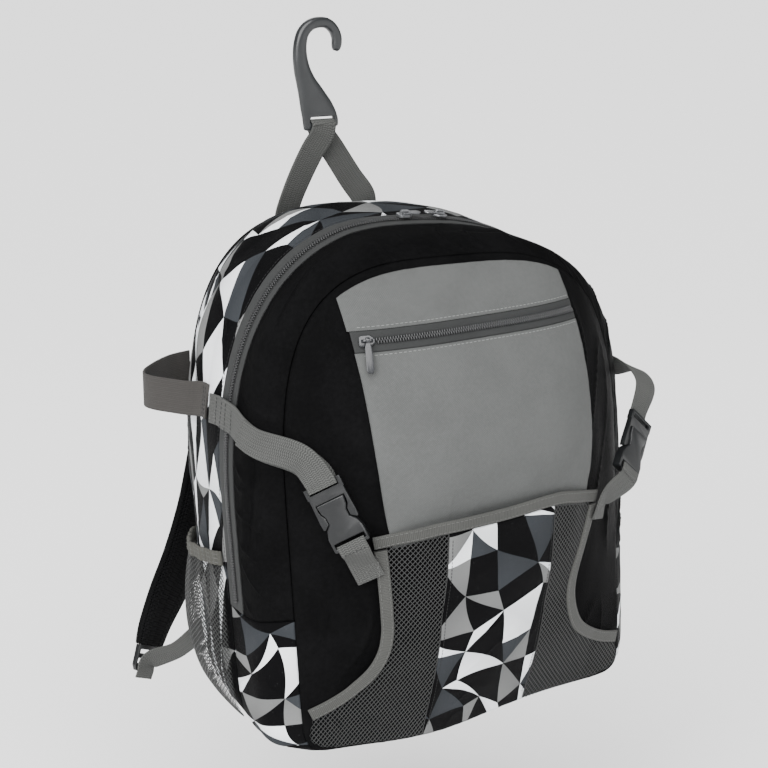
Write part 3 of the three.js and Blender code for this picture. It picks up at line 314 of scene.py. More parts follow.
    def face(self, x: Array, z: Array, lift: Array = 0.0) -> Array:
        """Front face raised by lift mm."""
        x, z = alike(x, z)
        lift = np.broadcast_to(np.asarray(lift, float), x.shape)[..., None]
        return self.face_at(x, z) + self.face_normal(x, z) * lift

    def apron_at(self, x: Array, z: Array) -> Array:
        """Apron pocket: bellies out of the face, with a small ruffle near its top edge."""
        x, z = alike(x, z)
        p = self.bare_face(x, z)
        ruffle = 0.9 * np.cos(x / 6.2) * clamp((z - 120) / 80) * clamp(np.abs(x) / 40 - 1)
        stand = 2.4 + (table(self.apron_stand, z) - 2.4) * clamp(1 - (x / 125) ** 2) + ruffle
        p[..., 1] = p[..., 1] - stand
        return self.slump(p)

    def apron_normal(self, x: Array, z: Array) -> Array:
        """Outward normal of the apron."""
        return self.normal(self.apron_at, np.asarray(x, float), np.asarray(z, float), 3, 3)

    def apron(self, x: Array, z: Array, lift: Array = 0.0) -> Array:
        """Apron raised by lift mm."""
        x, z = alike(x, z)
        lift = np.broadcast_to(np.asarray(lift, float), x.shape)[..., None]
        return self.apron_at(x, z) + self.apron_normal(x, z) * lift


FORM = BagForm()


# Mesh helpers
@contextmanager
def edited(mesh: bpy.types.Mesh) -> Iterator[bmesh.types.BMesh]:
    """Open a mesh for editing; afterwards all its faces point outwards."""
    bm = bmesh.new()
    bm.from_mesh(mesh)
    yield bm
    bmesh.ops.recalc_face_normals(bm, faces=bm.faces)
    bm.to_mesh(mesh)
    bm.free()


def thicken(obj: bpy.types.Object, thick: float) -> None:
    """Give a single layer of cloth its thickness in mm, half to each side."""
    wall = obj.modifiers.new("wall", "SOLIDIFY")
    wall.thickness, wall.offset = thick * MM, 0.0


def linked(obj: bpy.types.Object) -> bpy.types.Object:
    """The object, placed in the scene."""
    bpy.context.scene.collection.objects.link(obj)
    return obj


def to_row(points: Array) -> Array:
    """Layout millimetres to metres with the hook's bearing at the origin."""
    return (np.asarray(points, dtype=float) - BEARING) * MM


def new_object(name: str, verts: Array, faces: Array, uv: Optional[Array] = None,
               smooth: bool = True) -> bpy.types.Object:
    """A mesh object at the origin from vertices in layout mm.

    Args:
        name: the piece's name.
        verts: (n, 3) places in mm.
        faces: (m, 3) or (m, 4) vertex numbers.
        uv: one (u, v) in metres of cloth for each vertex.
        smooth: whether faces are shaded smooth.

    Returns:
        The new object, linked to the scene.
    """
    mesh = bpy.data.meshes.new(name)
    faces = np.asarray(faces, dtype=np.int32)
    k = faces.shape[1]
    mesh.vertices.add(len(verts))
    mesh.vertices.foreach_set("co", to_row(verts).astype(np.float32).ravel())
    mesh.loops.add(faces.size)
    mesh.loops.foreach_set("vertex_index", faces.ravel())
    mesh.polygons.add(len(faces))
    mesh.polygons.foreach_set("loop_start", np.arange(0, faces.size, k, dtype=np.int32))
    mesh.polygons.foreach_set("loop_total", np.full(len(faces), k, dtype=np.int32))
    mesh.update(calc_edges=True)
    mesh.polygons.foreach_set("use_smooth", np.full(len(faces), smooth))
    if uv is not None:
        layer = mesh.uv_layers.new(name="Cloth")
        layer.data.foreach_set("uv", np.asarray(uv, np.float32)[faces.ravel()].ravel())
    mesh.validate()
    mesh.update()
    return linked(bpy.data.objects.new(name, mesh))


def grid_faces(n: int, m: int, wrap_n: bool = False, wrap_m: bool = False) -> Array:
    """Quads of an n by m grid of points, closed round either way where asked."""
    i, j = grid_points(np.arange(n if wrap_n else n - 1), np.arange(m if wrap_m else m - 1))
    i2, j2 = (i + 1) % n, (j + 1) % m
    return np.stack([i * m + j, i2 * m + j, i2 * m + j2, i * m + j2], -1).reshape(-1, 4)


def grid_normals(p: Array) -> Array:
    """Unit normals of a grid of points from its central differences."""
    return unit(np.cross(np.gradient(p, axis=0), np.gradient(p, axis=1)))


def face_out(p: Array, middle: Array) -> Array:
    """The grid, with its second direction turned round if its normals point at the middle."""
    n = grid_normals(p)
    inward = ((p - middle) * n).sum() < 0
    return p[:, ::-1] if inward else p


def lengths(p: Array) -> tuple[Array, Array]:
    """Running lengths in mm along both directions of a grid, each averaged over the other."""
    du = np.linalg.norm(np.diff(p, axis=0), axis=2)
    dv = np.linalg.norm(np.diff(p, axis=1), axis=2)
    u = np.vstack([np.zeros((1, p.shape[1])), np.cumsum(du, 0)])
    v = np.hstack([np.zeros((p.shape[0], 1)), np.cumsum(dv, 1)])
    return u, v


@dataclass(frozen=True)
class Relief:
    """Small forms of sewn cloth: puff off the seams, puckers along them, swells and creases."""

    swell: float = 0.8
    crease: float = 0.6
    pucker: float = 0.35
    seam: float = 0.9
    size: float = 55.0
    stretch: float = 2.2
    turn: float = 0.3
    seed: int = 1

    def height(self, u: Array, v: Array, rim: Array) -> Array:
        """Height in mm at cloth place (u, v) at distance rim from the nearest seam.

        It is the sum of a wide noise, sharp creases where a turned, stretched noise crosses
        zero, a ripple along the seam that dies away from it, and a dip into the seam.
        """
        c, s = math.cos(self.turn), math.sin(self.turn)
        a, b = (u * c + v * s) / self.stretch, v * c - u * s
        wide = noise(a / self.size, b / self.size, self.seed)
        wide = wide + 0.4 * noise(a / self.size * 2.3, b / self.size * 2.3, self.seed + 1)
        n = noise(a / self.size * 1.7 + 9, b / self.size * 1.7, self.seed + 2)
        where = clamp(0.5 + 1.3 * noise(u / 70 + 5, v / 70, self.seed + 3))
        crease = np.exp(-np.abs(n) / 0.07) * where
        ripple = noise(u / 9, v / 9, self.seed + 4) * np.exp(-rim / 9)
        inside = 1 - np.exp(-rim / 7)
        return ((self.swell * wide + self.crease * crease) * inside + self.pucker * ripple
                - self.seam * np.exp(-rim / 2.2))


class Held(Enum):
    """How a sheet of cloth is kept."""

    STRETCHED = "stretched"
    GATHERED = "gathered"


def cloth(name: str, p: Array, finish: "Finish", node: str | Sequence[str], body: str = "bag",
          relief: Optional[Relief] = None, thick: float = 1.6,
          middle: Optional[Array] = None, open_rims: str = "",
          mask: Optional[Array] = None) -> bpy.types.Object:
    """A sewn cloth panel from a grid of mid-surface points.

    Args:
        name: the piece's name.
        p: (n, m, 3) places in mm.
        finish: the panel's finish.
        node: the CAD node or nodes that it stands for.
        body: the body that it rides on.
        relief: small forms laid over the grid along its normals.
        thick: thickness in mm.
        middle: a place inside the bag, for the outer side.
        open_rims: sides without a seam: any of "a", "b" (first, last row), "c", "d".
        mask: share of the relief at each point.

    Returns:
        The finished piece, riding on its body.
    """
    p = face_out(p, vec(0, -95, 200) if middle is None else middle)
    u, v = lengths(p)
    if relief is not None:
        far = 1e3
        rims = [far if "a" in open_rims else u, far if "b" in open_rims else u[-1] - u,
                far if "c" in open_rims else v, far if "d" in open_rims else v[:, -1:] - v]
        rim = np.minimum.reduce([np.broadcast_to(r, u.shape) for r in rims])
        high = relief.height(u, v, rim) * (1.0 if mask is None else mask)
        p = p + grid_normals(p) * high[..., None]
    n, m = u.shape
    obj = new_object(name, p.reshape(-1, 3), grid_faces(n, m),
                     np.stack([u, v], -1).reshape(-1, 2) * MM)
    thicken(obj, thick)
    dress(obj, finish, node, body)
    return obj


def dress(obj: bpy.types.Object, finish: "Finish", node: str | Sequence[str] = (),
          body: str = "bag") -> bpy.types.Object:
    """Give a piece its material, its body and the nodes that it stands for."""
    obj.data.materials.clear()
    obj.data.materials.append(finish.material())
    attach(obj, body)
    if isinstance(finish, (Woven, Ribbed)):
        obj["cloth"] = True
    nodes = [node] if isinstance(node, str) else list(node)
    if nodes:
        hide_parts(*nodes)
    LOG.info("%s: %d faces, rides on %s", obj.name, len(obj.data.polygons), body)
    return obj


def tube_mesh(rings: Array, closed: bool = False) -> tuple[Array, Array]:
    """Vertices and quads of closed rings joined one after another, with fan caps as quads.

    Args:
        rings: (n, m, 3) places, m round each ring.
        closed: whether the last ring joins the first.

    Returns:
        Vertices and faces (caps hold repeated numbers, so they become triangles).
    """
    n, m = rings.shape[:2]
    verts, faces = rings.reshape(-1, 3), grid_faces(n, m, wrap_n=closed, wrap_m=True)
    if closed:
        return verts, faces
    verts = np.vstack([verts, rings[0].mean(0), rings[-1].mean(0)])
    j = np.arange(0, m, 2)
    c0, c1 = np.full(len(j), n * m), np.full(len(j), n * m + 1)
    first = np.stack([c0, (j + 2) % m, (j + 1) % m, j], 1)
    last = np.stack([c1, j, (j + 1) % m, (j + 2) % m], 1)
    last[:, 1:] += (n - 1) * m
    return verts, np.vstack([faces, first, last])


def outward(obj: bpy.types.Object) -> bpy.types.Object:
    """Turn a closed mesh's faces outwards after merging its doubles."""
    with edited(obj.data) as bm:
        bmesh.ops.remove_doubles(bm, verts=bm.verts, dist=1e-6)
    return obj


@dataclass(frozen=True)
class Track:
    """A line on the bag with its sideways and outward directions at each point."""

    place: Array
    side: Array
    out: Array

    @staticmethod
    def free(stops: Sequence[tuple[Array, Array]], count: int) -> "Track":
        """A free webbing's line through (place, outward) stops, sideways = outward x along."""
        f = np.linspace(0, 1, count)
        p, n = spline([s[0] for s in stops], f), spline([s[1] for s in stops], f)
        along = unit(np.gradient(p, axis=0))
        side = unit(np.cross(n, along))
        return Track(p, side, unit(np.cross(along, side)))

    @staticmethod
    def on(fn: Callable, a: Array, b: Array, lift: float) -> "Track":
        """A line on a two-parameter surface, raised by lift mm."""
        p, foot = fn(a, b, lift), fn(a, b, lift - 1)
        along = unit(np.gradient(p, axis=0))
        side = unit(np.cross(unit(p - foot), along))
        return Track(p, side, unit(np.cross(along, side)))

    def read(self, run: Array) -> list[Array]:
        """Place, sideways and outward directions at run mm along the line."""
        total = walked(self.place)
        return [sample(run, total, a) for a in (self.place, self.side, self.out)]

    def spot(self, run: Array, across: Array) -> tuple[Array, Array]:
        """Places run mm along the line and across mm beside it, with their outward ways."""
        place, side, out = self.read(run)
        return place + side * across[:, None], out

    def length(self) -> float:
        """Length of the line in mm."""
        return float(walked(self.place)[-1])

    def at(self, side: Array, out: Array) -> Array:
        """Places beside and above the line: side and out are (m,) or (n, m) in mm."""
        side, out = np.atleast_2d(side)[..., None], np.atleast_2d(out)[..., None]
        return (self.place[:, None] + self.side[:, None] * side + self.out[:, None] * out)


def sleeve_uv(u: Array, v: Array) -> Array:
    """Cloth places in metres for a tube_mesh's vertices, from u round it and v along it."""
    uv = np.stack(np.broadcast_arrays(u, v), -1).reshape(-1, 2)
    return np.vstack([uv, uv[:1], uv[-1:]]) * MM


def webbing(name: str, track: Track, width: float, thick: float, finish: "Finish",
            node: str,
            rests: str = "back_panel") -> bpy.types.Object:
    """Flat woven tape with rounded selvedges, swept along a track.

    The section is a rounded rectangle: its half width is w/2, its half thickness t/2 falls to
    nothing over the last 0.8 mm in a quarter round. Cloth u runs across and v along.

    Args:
        name: the piece's name.
        track: the line that it follows.
        width: width in mm.
        thick: thickness in mm.
        finish: its finish.
        node: the CAD node that it stands for.
        rests: what it is sewn to; not used.

    Returns:
        The finished piece.
    """
    round_at, h = np.linspace(0, np.pi / 2, 4), thick / 2
    edge = np.stack([width / 2 - 0.8 + 0.8 * np.sin(round_at), h * np.cos(round_at)], 1)
    half = np.vstack([np.stack([np.linspace(-width / 2 + 2.5, width / 2 - 2.5, 7),
                                np.full(7, h)], 1), edge])
    section = np.vstack([np.stack([-edge[::-1, 0], edge[::-1, 1]], 1), half])
    section = np.vstack([section, np.stack([section[::-1, 0], -section[::-1, 1]], 1)[1:-1]])
    n = len(track.place)
    rings = track.at(*(np.broadcast_to(section[:, k], (n, len(section))) for k in (0, 1)))
    verts, faces = tube_mesh(rings)
    run = walked(track.place)[:, None]
    obj = outward(new_object(name, verts, faces, sleeve_uv(section[None, :, 0] + width, run)))
    dress(obj, finish, node)
    track.length() * MM
    return obj


def frame_of(place: Array, along: Array, out: Array) -> tuple[Array, Array]:
    """Origin and axes (rows) of a right-angled frame: x along, z out."""
    x = unit(along)
    y = unit(np.cross(out, x))
    return place, np.stack([x, y, np.cross(x, y)])


def moulded(name: str, node: str, finish: "Finish", body: str = "bag", edge: float = 0.45,
            steps: int = 3, angle: float = 32.0) -> bpy.types.Object:
    """A moulded piece: the solid's own shape with its edges rounded off.

    Args:
        name: the piece's name.
        node: the CAD node whose form it refines.
        finish: its finish.
        body: the body that it rides on.
        edge: edge radius in mm.
        steps: steps round each edge.
        angle: edges sharper than this many degrees are rounded.

    Returns:
        The finished piece.
    """
    mesh = bpy.data.objects[node].data.copy()
    obj = linked(bpy.data.objects.new(name, mesh))
    with edited(mesh) as bm:
        bmesh.ops.remove_doubles(bm, verts=bm.verts, dist=2e-6)
        bmesh.ops.dissolve_limit(bm, angle_limit=math.radians(1.5), verts=bm.verts,
                                 edges=bm.edges)
    bevel = obj.modifiers.new("edges", "BEVEL")
    bevel.width, bevel.segments, bevel.limit_method = edge * MM, steps, "ANGLE"
    bevel.angle_limit, bevel.use_clamp_overlap = math.radians(angle), True
    bevel.harden_normals = True
    for poly in mesh.polygons:
        poly.use_smooth = True
    return dress(obj, finish, node, body)


# Shader building
Colour = tuple[float, float, float]


class Graph:
    """Short-hand for placing and joining the nodes of one tree."""

    def __init__(self, tree: bpy.types.NodeTree) -> None:
        """Start on a tree that may already hold nodes."""
        self.tree = tree

    def add(self, kind: str, **settings: object) -> bpy.types.Node:
        """A node of the given kind with its properties set."""
        node = self.tree.nodes.new(kind)
        for key, value in settings.items():
            setattr(node, key, value)
        return node

    def feed(self, socket: bpy.types.NodeSocket, value: object) -> None:
        """Link another node's socket, or set a plain value."""
        if isinstance(value, bpy.types.NodeSocket):
            self.tree.links.new(value, socket)
        else:
            socket.default_value = value

    def fill(self, node: bpy.types.Node, values: dict) -> bpy.types.Node:
        """Feed a node's inputs, each given by its name or number."""
        for key, value in values.items():
            self.feed(node.inputs[key], value)
        return node

    def vector(self, operation: str, *values: object, **named: object) -> object:
        """One Vector Math node's result, from inputs in order and inputs by name."""
        node = self.add("ShaderNodeVectorMath", operation=operation)
        return self.fill(node, dict(enumerate(values)) | named).outputs[0]

    def parts(self, vector: object) -> Sequence[bpy.types.NodeSocket]:
        """A vector's three numbers."""
        return self.fill(self.add("ShaderNodeSeparateXYZ"), {0: vector}).outputs

    def ripple(self, value: object) -> object:
        """|sin| of a value, with one crest for each whole step."""
        return self.math("ABSOLUTE", self.math("SINE", self.math("MULTIPLY", value, math.pi)))

    def math(self, operation: str, a: object, b: object = 0.0, c: object = 0.0) -> object:
        """One Math node's result."""
        node = self.add("ShaderNodeMath", operation=operation)
        return self.fill(node, {0: a, 1: b, 2: c}).outputs[0]

    def smooth(self, value: object, low: float, high: float) -> object:
        """0 below low, 1 above high, eased between."""
        node = self.add("ShaderNodeMapRange", interpolation_type="SMOOTHSTEP")
        return self.fill(node, {"Value": value, "From Min": low,
                                "From Max": high}).outputs["Result"]

    def mix(self, factor: object, a: object, b: object, kind: str = "MIX") -> object:
        """Blend of two colours."""
        node = self.add("ShaderNodeMix", data_type="RGBA", blend_type=kind)
        self.feed(node.inputs["Factor"], factor)
        for name, value in (("A", a), ("B", b)):
            socket = next(s for s in node.inputs if s.name == name and s.type == "RGBA")
            self.feed(socket, (*value, 1.0) if isinstance(value, tuple) else value)
        return next(s for s in node.outputs if s.type == "RGBA")

    def noise(self, vector: object, scale: object, detail: float = 2.0,
              rough: float = 0.5, kind: str = "2D") -> object:
        """Noise value of about 0.3 to 0.7."""
        node = self.add("ShaderNodeTexNoise", noise_dimensions=kind)
        return self.fill(node, {"Vector": vector, "Scale": scale, "Detail": detail,
                                "Roughness": rough}).outputs["Fac"]

    def bump(self, height: object, depth: float, normal: object = None) -> object:
        """Normal bent by a height, where height 1 stands depth metres up."""
        node = self.fill(self.add("ShaderNodeBump"),
                         {"Strength": 1.0, "Distance": depth, "Height": height})
        if normal is not None:
            self.feed(node.inputs["Normal"], normal)
        return node.outputs["Normal"]


def shared(name: str, inputs: Sequence[tuple[str, str, float]], outputs: Sequence[str],
           build: Callable[[Graph, dict], dict]) -> bpy.types.NodeTree:
    """A shader node group, built the first time that it is asked for.

    Args:
        name: the group's name.
        inputs: name, kind ("Vector" or "Float") and default of each input.
        outputs: names of the float outputs.
        build: takes the graph and the input sockets, returns the output values by name.

    Returns:
        The node tree.
    """
    tree = bpy.data.node_groups.get(name)
    if tree:
        return tree
    tree = bpy.data.node_groups.new(name, "ShaderNodeTree")
    for label, kind, default in inputs:
        socket = tree.interface.new_socket(name=label, in_out="INPUT",
                                           socket_type=f"NodeSocket{kind}")
        if kind == "Float":
            socket.default_value = default
    for label in outputs:
        tree.interface.new_socket(name=label, in_out="OUTPUT", socket_type="NodeSocketFloat")
    g = Graph(tree)
    start, end = g.add("NodeGroupInput"), g.add("NodeGroupOutput")
    for label, value in build(g, {s.name: s for s in start.outputs}).items():
        g.feed(end.inputs[label], value)
    return tree


def weave_group() -> bpy.types.NodeTree:
    """Plain weave: threads pitch metres apart cross over and under in a chequer."""

    def build(g: Graph, i: dict) -> dict:
        """Height is |sin| of the thread on top; Thread is 1 where the warp is on top."""
        x, y = (g.math("DIVIDE", part, i["Pitch"]) for part in g.parts(i["Vector"])[:2])
        both = g.math("ADD", g.math("FLOOR", x), g.math("FLOOR", y))
        odd = g.math("ROUND", g.math("FRACT", g.math("MULTIPLY", both, 0.5)))
        warp, weft = g.ripple(x), g.ripple(y)
        one = g.math("MULTIPLY", warp, odd)
        two = g.math("MULTIPLY", weft, g.math("SUBTRACT", 1.0, odd))
        return {"Height": g.math("ADD", one, two), "Thread": odd}

    return shared("weave", [("Vector", "Vector", 0), ("Pitch", "Float", 0.0006)],
                  ["Height", "Thread"], build)


def rib_group() -> bpy.types.NodeTree:
    """Webbing weave: ribs across the tape, each broken into slanting thread ends."""

    def build(g: Graph, i: dict) -> dict:
        """Height is |sin| of v bent by a zigzag in u, times the thread ends' own |sin|."""
        across, along = g.parts(i["Vector"])[:2]
        x = g.math("DIVIDE", across, i["Across"])
        y = g.math("ADD", g.math("DIVIDE", along, i["Along"]),
                   g.math("MULTIPLY", g.math("PINGPONG", x, 1.0), i["Slant"]))
        rib, end = g.ripple(y), g.ripple(x)
        height = g.math("MULTIPLY", g.math("POWER", rib, 0.6),
                        g.math("ADD", 0.55, g.math("MULTIPLY", end, 0.45)))
        return {"Height": height}

    return shared("webbing_ribs", [("Vector", "Vector", 0), ("Across", "Float", 0.0016),
                                   ("Along", "Float", 0.0011), ("Slant", "Float", 0.5)],
                  ["Height"], build)


def use_group() -> bpy.types.NodeTree:
    """Signs of use: soft mottling, uneven dye and sparse pale lint, from one vector."""

    def build(g: Graph, i: dict) -> dict:
        """Tone wanders round 0.5 by two noises; Lint is 1 on thin specks."""
        wide = g.noise(i["Vector"], i["Scale"], 4.0, kind="3D")
        fine = g.noise(i["Vector"], g.math("MULTIPLY", i["Scale"], 14.0), kind="3D")
        tone = g.math("ADD", g.math("MULTIPLY", wide, 0.6), g.math("MULTIPLY", fine, 0.4))
        speck = g.fill(g.add("ShaderNodeTexVoronoi", voronoi_dimensions="3D", feature="F1"),
                       {"Vector": i["Vector"], "Scale": 190.0})
        return {"Tone": tone, "Lint": g.smooth(speck.outputs["Distance"], 0.11, 0.04)}

    return shared("use", [("Vector", "Vector", 0), ("Scale", "Float", 30.0)],
                  ["Tone", "Lint"], build)


def facet_group() -> bpy.types.NodeTree:
    """Generic faceted ground: a warped lattice whose cells are each cut into four triangles."""

    def build(g: Graph, i: dict) -> dict:
        """Shade is a step for each triangle and Fade grows from the point where four meet.

        A cell's inner point lies off its middle by its own random amount. A place is in the
        triangle of corner k when it is left of the line to corner k and right of the next.
        """
        place = g.vector("SCALE", i["Vector"], Scale=i["Scale"])
        wander = g.fill(g.add("ShaderNodeTexNoise", noise_dimensions="2D"),
                        {"Vector": place, "Scale": 0.3, "Detail": 0.0})
        centred = g.vector("SUBTRACT", wander.outputs["Color"], (0.5, 0.5, 0.5))
        warp = g.vector("MULTIPLY_ADD", centred, (1.5, 1.5, 0.0), place)
        dice = g.fill(g.add("ShaderNodeTexWhiteNoise", noise_dimensions="2D"),
                      {"Vector": g.vector("FLOOR", warp)})
        seed, at = g.parts(dice.outputs["Color"]), g.parts(g.vector("FRACTION", warp))
        mid = [g.math("MULTIPLY_ADD", seed[k], 0.7, 0.15) for k in (0, 1)]
        away = [g.math("SUBTRACT", at[k], mid[k]) for k in (0, 1)]
        left = []
        for corner in ((0.0, 0.0), (1.0, 0.0), (1.0, 1.0), (0.0, 1.0)):
            dx, dy = (g.math("SUBTRACT", c, m) for c, m in zip(corner, mid))
            turn = g.math("SUBTRACT", g.math("MULTIPLY", dx, away[1]),
                          g.math("MULTIPLY", dy, away[0]))
            left.append(g.math("GREATER_THAN", turn, 0.0))
        step = g.math("MULTIPLY", seed[2], 7.3)
        for k, rise in enumerate((0.0, 0.47, 0.83, 0.31)):
            both = g.math("MULTIPLY", left[k], g.math("SUBTRACT", 1.0, left[(k + 1) % 4]))
            step = g.math("MULTIPLY_ADD", both, rise, step)
        far = g.math("ADD", g.math("POWER", away[0], 2.0), g.math("POWER", away[1], 2.0))
        return {"Shade": g.math("FRACT", step), "Fade": g.math("SQRT", far)}

    return shared("facets", [("Vector", "Vector", 0), ("Scale", "Float", 22.0)],
                  ["Shade", "Fade"], build)


# Finishes
@dataclass(frozen=True)
class Finish:
    """A named finish whose material is built once."""

    name: str
    colour: Colour
    slot: str = ""
    rough: float = 0.8
    sheen: float = 0.0
    metal: float = 0.0
    coat: float = 0.0
    shine: float = 0.25

    def material(self) -> bpy.types.Material:
        """The finish's material, made the first time."""
        found = bpy.data.materials.get(self.name)
        if found:
            return found
        material = bpy.data.materials.new(self.name)
        material.use_nodes = True
        material.node_tree.nodes.clear()
        g = Graph(material.node_tree)
        shader = g.fill(g.add("ShaderNodeBsdfPrincipled"), {
            "Base Color": (*self.colour, 1.0), "Roughness": self.rough, "Metallic": self.metal,
            "Specular IOR Level": self.shine, "Sheen Weight": self.sheen,
            "Sheen Roughness": 0.45, "Coat Weight": self.coat, "Coat Roughness": 0.25})
        g.fill(g.add("ShaderNodeOutputMaterial"), {"Surface": shader.outputs[0]})
        material.diffuse_color = (*self.colour, 1.0)
        self.dress(g, shader)
        return material

    def cloth_place(self, g: Graph) -> object:
        """The piece's own cloth coordinates, in metres."""
        return g.add("ShaderNodeUVMap", uv_map="Cloth").outputs["UV"]

    def body_place(self, g: Graph) -> object:
        """Object coordinates, in metres."""
        return g.add("ShaderNodeTexCoord").outputs["Object"]

    def group(self, g: Graph, tree: bpy.types.NodeTree, vector: object,
              **values: float) -> dict:
        """A shared group placed with its own values; gives its outputs by name."""
        node = g.fill(g.add("ShaderNodeGroup", node_tree=tree), {"Vector": vector, **values})
        return {s.name: s for s in node.outputs}

    def tint(self, share: float) -> Colour:
        """A share of the finish's own colour."""
        return tuple(c * share for c in self.colour)

    def worn(self, g: Graph, shader: bpy.types.Node, mark: object, less: float = 0.1,
             more: float = 0.2) -> None:
        """Roughness that starts less than the finish's own and grows by more with a mark."""
        g.feed(shader.inputs["Roughness"],
               g.math("ADD", self.rough - less, g.math("MULTIPLY", mark, more)))

    def dress(self, g: Graph, shader: bpy.types.Node) -> None:
        """Detail beyond the plain values; each kind of finish adds its own."""


@dataclass(frozen=True)
class Woven(Finish):
    """Plain woven cloth with mottled dye, visible threads and a little lint."""

    pitch: float = 0.0006
    depth: float = 0.00012
    spread: float = 0.35
    lint: float = 0.15

    def ground(self, g: Graph, place: object, tone: object) -> object:
        """Colour of the cloth before its threads show."""
        low, high = self.tint(1 - self.spread), self.tint(1 + self.spread)
        return g.mix(g.smooth(tone, 0.3, 0.7), low, high)

    def dress(self, g: Graph, shader: bpy.types.Node) -> None:
        """Threads in bump, with painted shade in the gaps between threads and painted highlight on
        their crests, warp tops a little lighter than weft tops; mottled roughness, specks of lint.
        """
        place = self.cloth_place(g)
        use = self.group(g, use_group(), self.body_place(g), Scale=22.0)
        weave = self.group(g, weave_group(), place, Pitch=self.pitch)
        ground = self.ground(g, place, use["Tone"])
        # Painted shade and highlight: colour falls to 0.62 in the gaps between threads and rises
        # to 1.12 on their crests; warp tops are 8 % lighter and weft tops 8 % darker.
        shade = g.math("MULTIPLY_ADD", weave["Height"], 0.5, 0.62)
        pair = g.math("MULTIPLY_ADD", weave["Thread"], 0.16, 0.92)
        grey = g.add("ShaderNodeCombineColor")
        for k in range(3):
            g.feed(grey.inputs[k], g.math("MULTIPLY", shade, pair))
        # woven holds the cloth colour with the painted thread shade and highlight laid in.
        woven = g.mix(1.0, ground, grey.outputs[0], "MULTIPLY")
        dusty = tuple(0.5 * c + 0.06 for c in self.colour)
        g.feed(shader.inputs["Base Color"],
               g.mix(g.math("MULTIPLY", use["Lint"], self.lint), woven, dusty))
        self.worn(g, shader, use["Tone"])
        soft = g.bump(g.noise(place, 260.0, 3.0), 0.0002)
        g.feed(shader.inputs["Normal"], g.bump(weave["Height"], self.depth, soft))


@dataclass(frozen=True)
class Printed(Woven):
    """Woven cloth printed with the generic faceted ground in four greys."""

    tones: tuple = ((0.0, (0.0022, 0.0022, 0.0025)), (0.47, (0.03, 0.033, 0.037)),
                    (0.64, (0.145, 0.147, 0.146)), (0.79, (0.8, 0.82, 0.84)))
    scale: float = 40.0
    squeeze: tuple = (0.38, 1.0, 0.2)    # scale both ways and a turn in radians

    def ground(self, g: Graph, place: object, tone: object) -> object:
        """One of the four greys for each wedge of the facets."""
        wide, high, turn = self.squeeze
        lay = g.fill(g.add("ShaderNodeMapping"), {"Vector": place, "Scale": (wide, high, 1),
                                                  "Rotation": (0, 0, turn)})
        facets = self.group(g, facet_group(), lay.outputs[0], Scale=self.scale)
        ramp = g.add("ShaderNodeValToRGB")
        ramp.color_ramp.interpolation = "CONSTANT"
        stops = ramp.color_ramp.elements
        while len(stops) < len(self.tones):
            stops.new(0.5)
        for stop, (at, colour) in zip(stops, self.tones):
            stop.position, stop.color = at, (*colour, 1.0)
        g.feed(ramp.inputs[0], facets["Shade"])
        fade = g.math("MULTIPLY", g.smooth(facets["Fade"], 0.1, 0.9), 0.35)
        return g.mix(g.math("ADD", g.math("MULTIPLY", tone, 0.02), fade), ramp.outputs[0],
                     g.mix(1.0, ramp.outputs[0], (0.45, 0.45, 0.46), "MULTIPLY"))


@dataclass(frozen=True)
class Ribbed(Finish):
    """Webbing or grosgrain: ribs with slanting thread ends."""

    across: float = 0.0025
    along: float = 0.0017
    slant: float = 0.55
    depth: float = 0.0006

    def dress(self, g: Graph, shader: bpy.types.Node) -> None:
        """Ribs in bump, with painted shade in the gaps between ribs and painted highlight on their
        crests, over mottled yarn.
        """
        place = self.cloth_place(g)
        use = self.group(g, use_group(), self.body_place(g), Scale=40.0)
        ribs = self.group(g, rib_group(), place, Across=self.across, Along=self.along,
                          Slant=self.slant)
        # Painted shade and highlight: yarn runs from 0.3 of the finish's colour in the gaps
        # between ribs to 1.4 of it on the crests; the flecks are mottling in the lighter colour.
        dark, light = self.tint(0.3), self.tint(1.4)
        yarn = g.mix(ribs["Height"], dark, light)
        fleck = g.mix(g.math("MULTIPLY", g.smooth(use["Tone"], 0.35, 0.65), 0.35), yarn, light)
        g.feed(shader.inputs["Base Color"], fleck)
        self.worn(g, shader, use["Tone"])
        g.feed(shader.inputs["Normal"], g.bump(ribs["Height"], self.depth))


@dataclass(frozen=True)
class Moulded(Finish):
    """Moulded plastic or cast metal: fine grain, faint flow marks and handling marks."""

    grain: float = 0.00003
    spread: float = 0.12

    def dress(self, g: Graph, shader: bpy.types.Node) -> None:
        """Grain in bump, smears in roughness, a slow drift of colour."""
        place = self.body_place(g)
        use = self.group(g, use_group(), place, Scale=60.0)
        low, high = self.tint(1 - self.spread), self.tint(1 + self.spread)
        g.feed(shader.inputs["Base Color"], g.mix(g.smooth(use["Tone"], 0.35, 0.65), low, high))
        smear = g.smooth(g.noise(place, 70.0, 3.0, 0.6, "3D"), 0.35, 0.7)
        self.worn(g, shader, smear, 0.06, 0.14)
        g.feed(shader.inputs["Normal"],
               g.bump(g.noise(place, 3200.0, 2.0, 0.6, "3D"), self.grain))


@dataclass(frozen=True)
class Yarn(Finish):
    """Sewing thread or net yarn: twist marks along the thread."""

    def dress(self, g: Graph, shader: bpy.types.Node) -> None:
        """Twist as a fine bump and a small drift of colour."""
        place = self.body_place(g)
        use = self.group(g, use_group(), place, Scale=90.0)
        low, high = self.tint(0.75), self.tint(1.2)
        g.feed(shader.inputs["Base Color"], g.mix(use["Tone"], low, high))
        g.feed(shader.inputs["Normal"], g.bump(g.noise(place, 2600.0, 1.0, 0.5, "3D"), 0.0001))


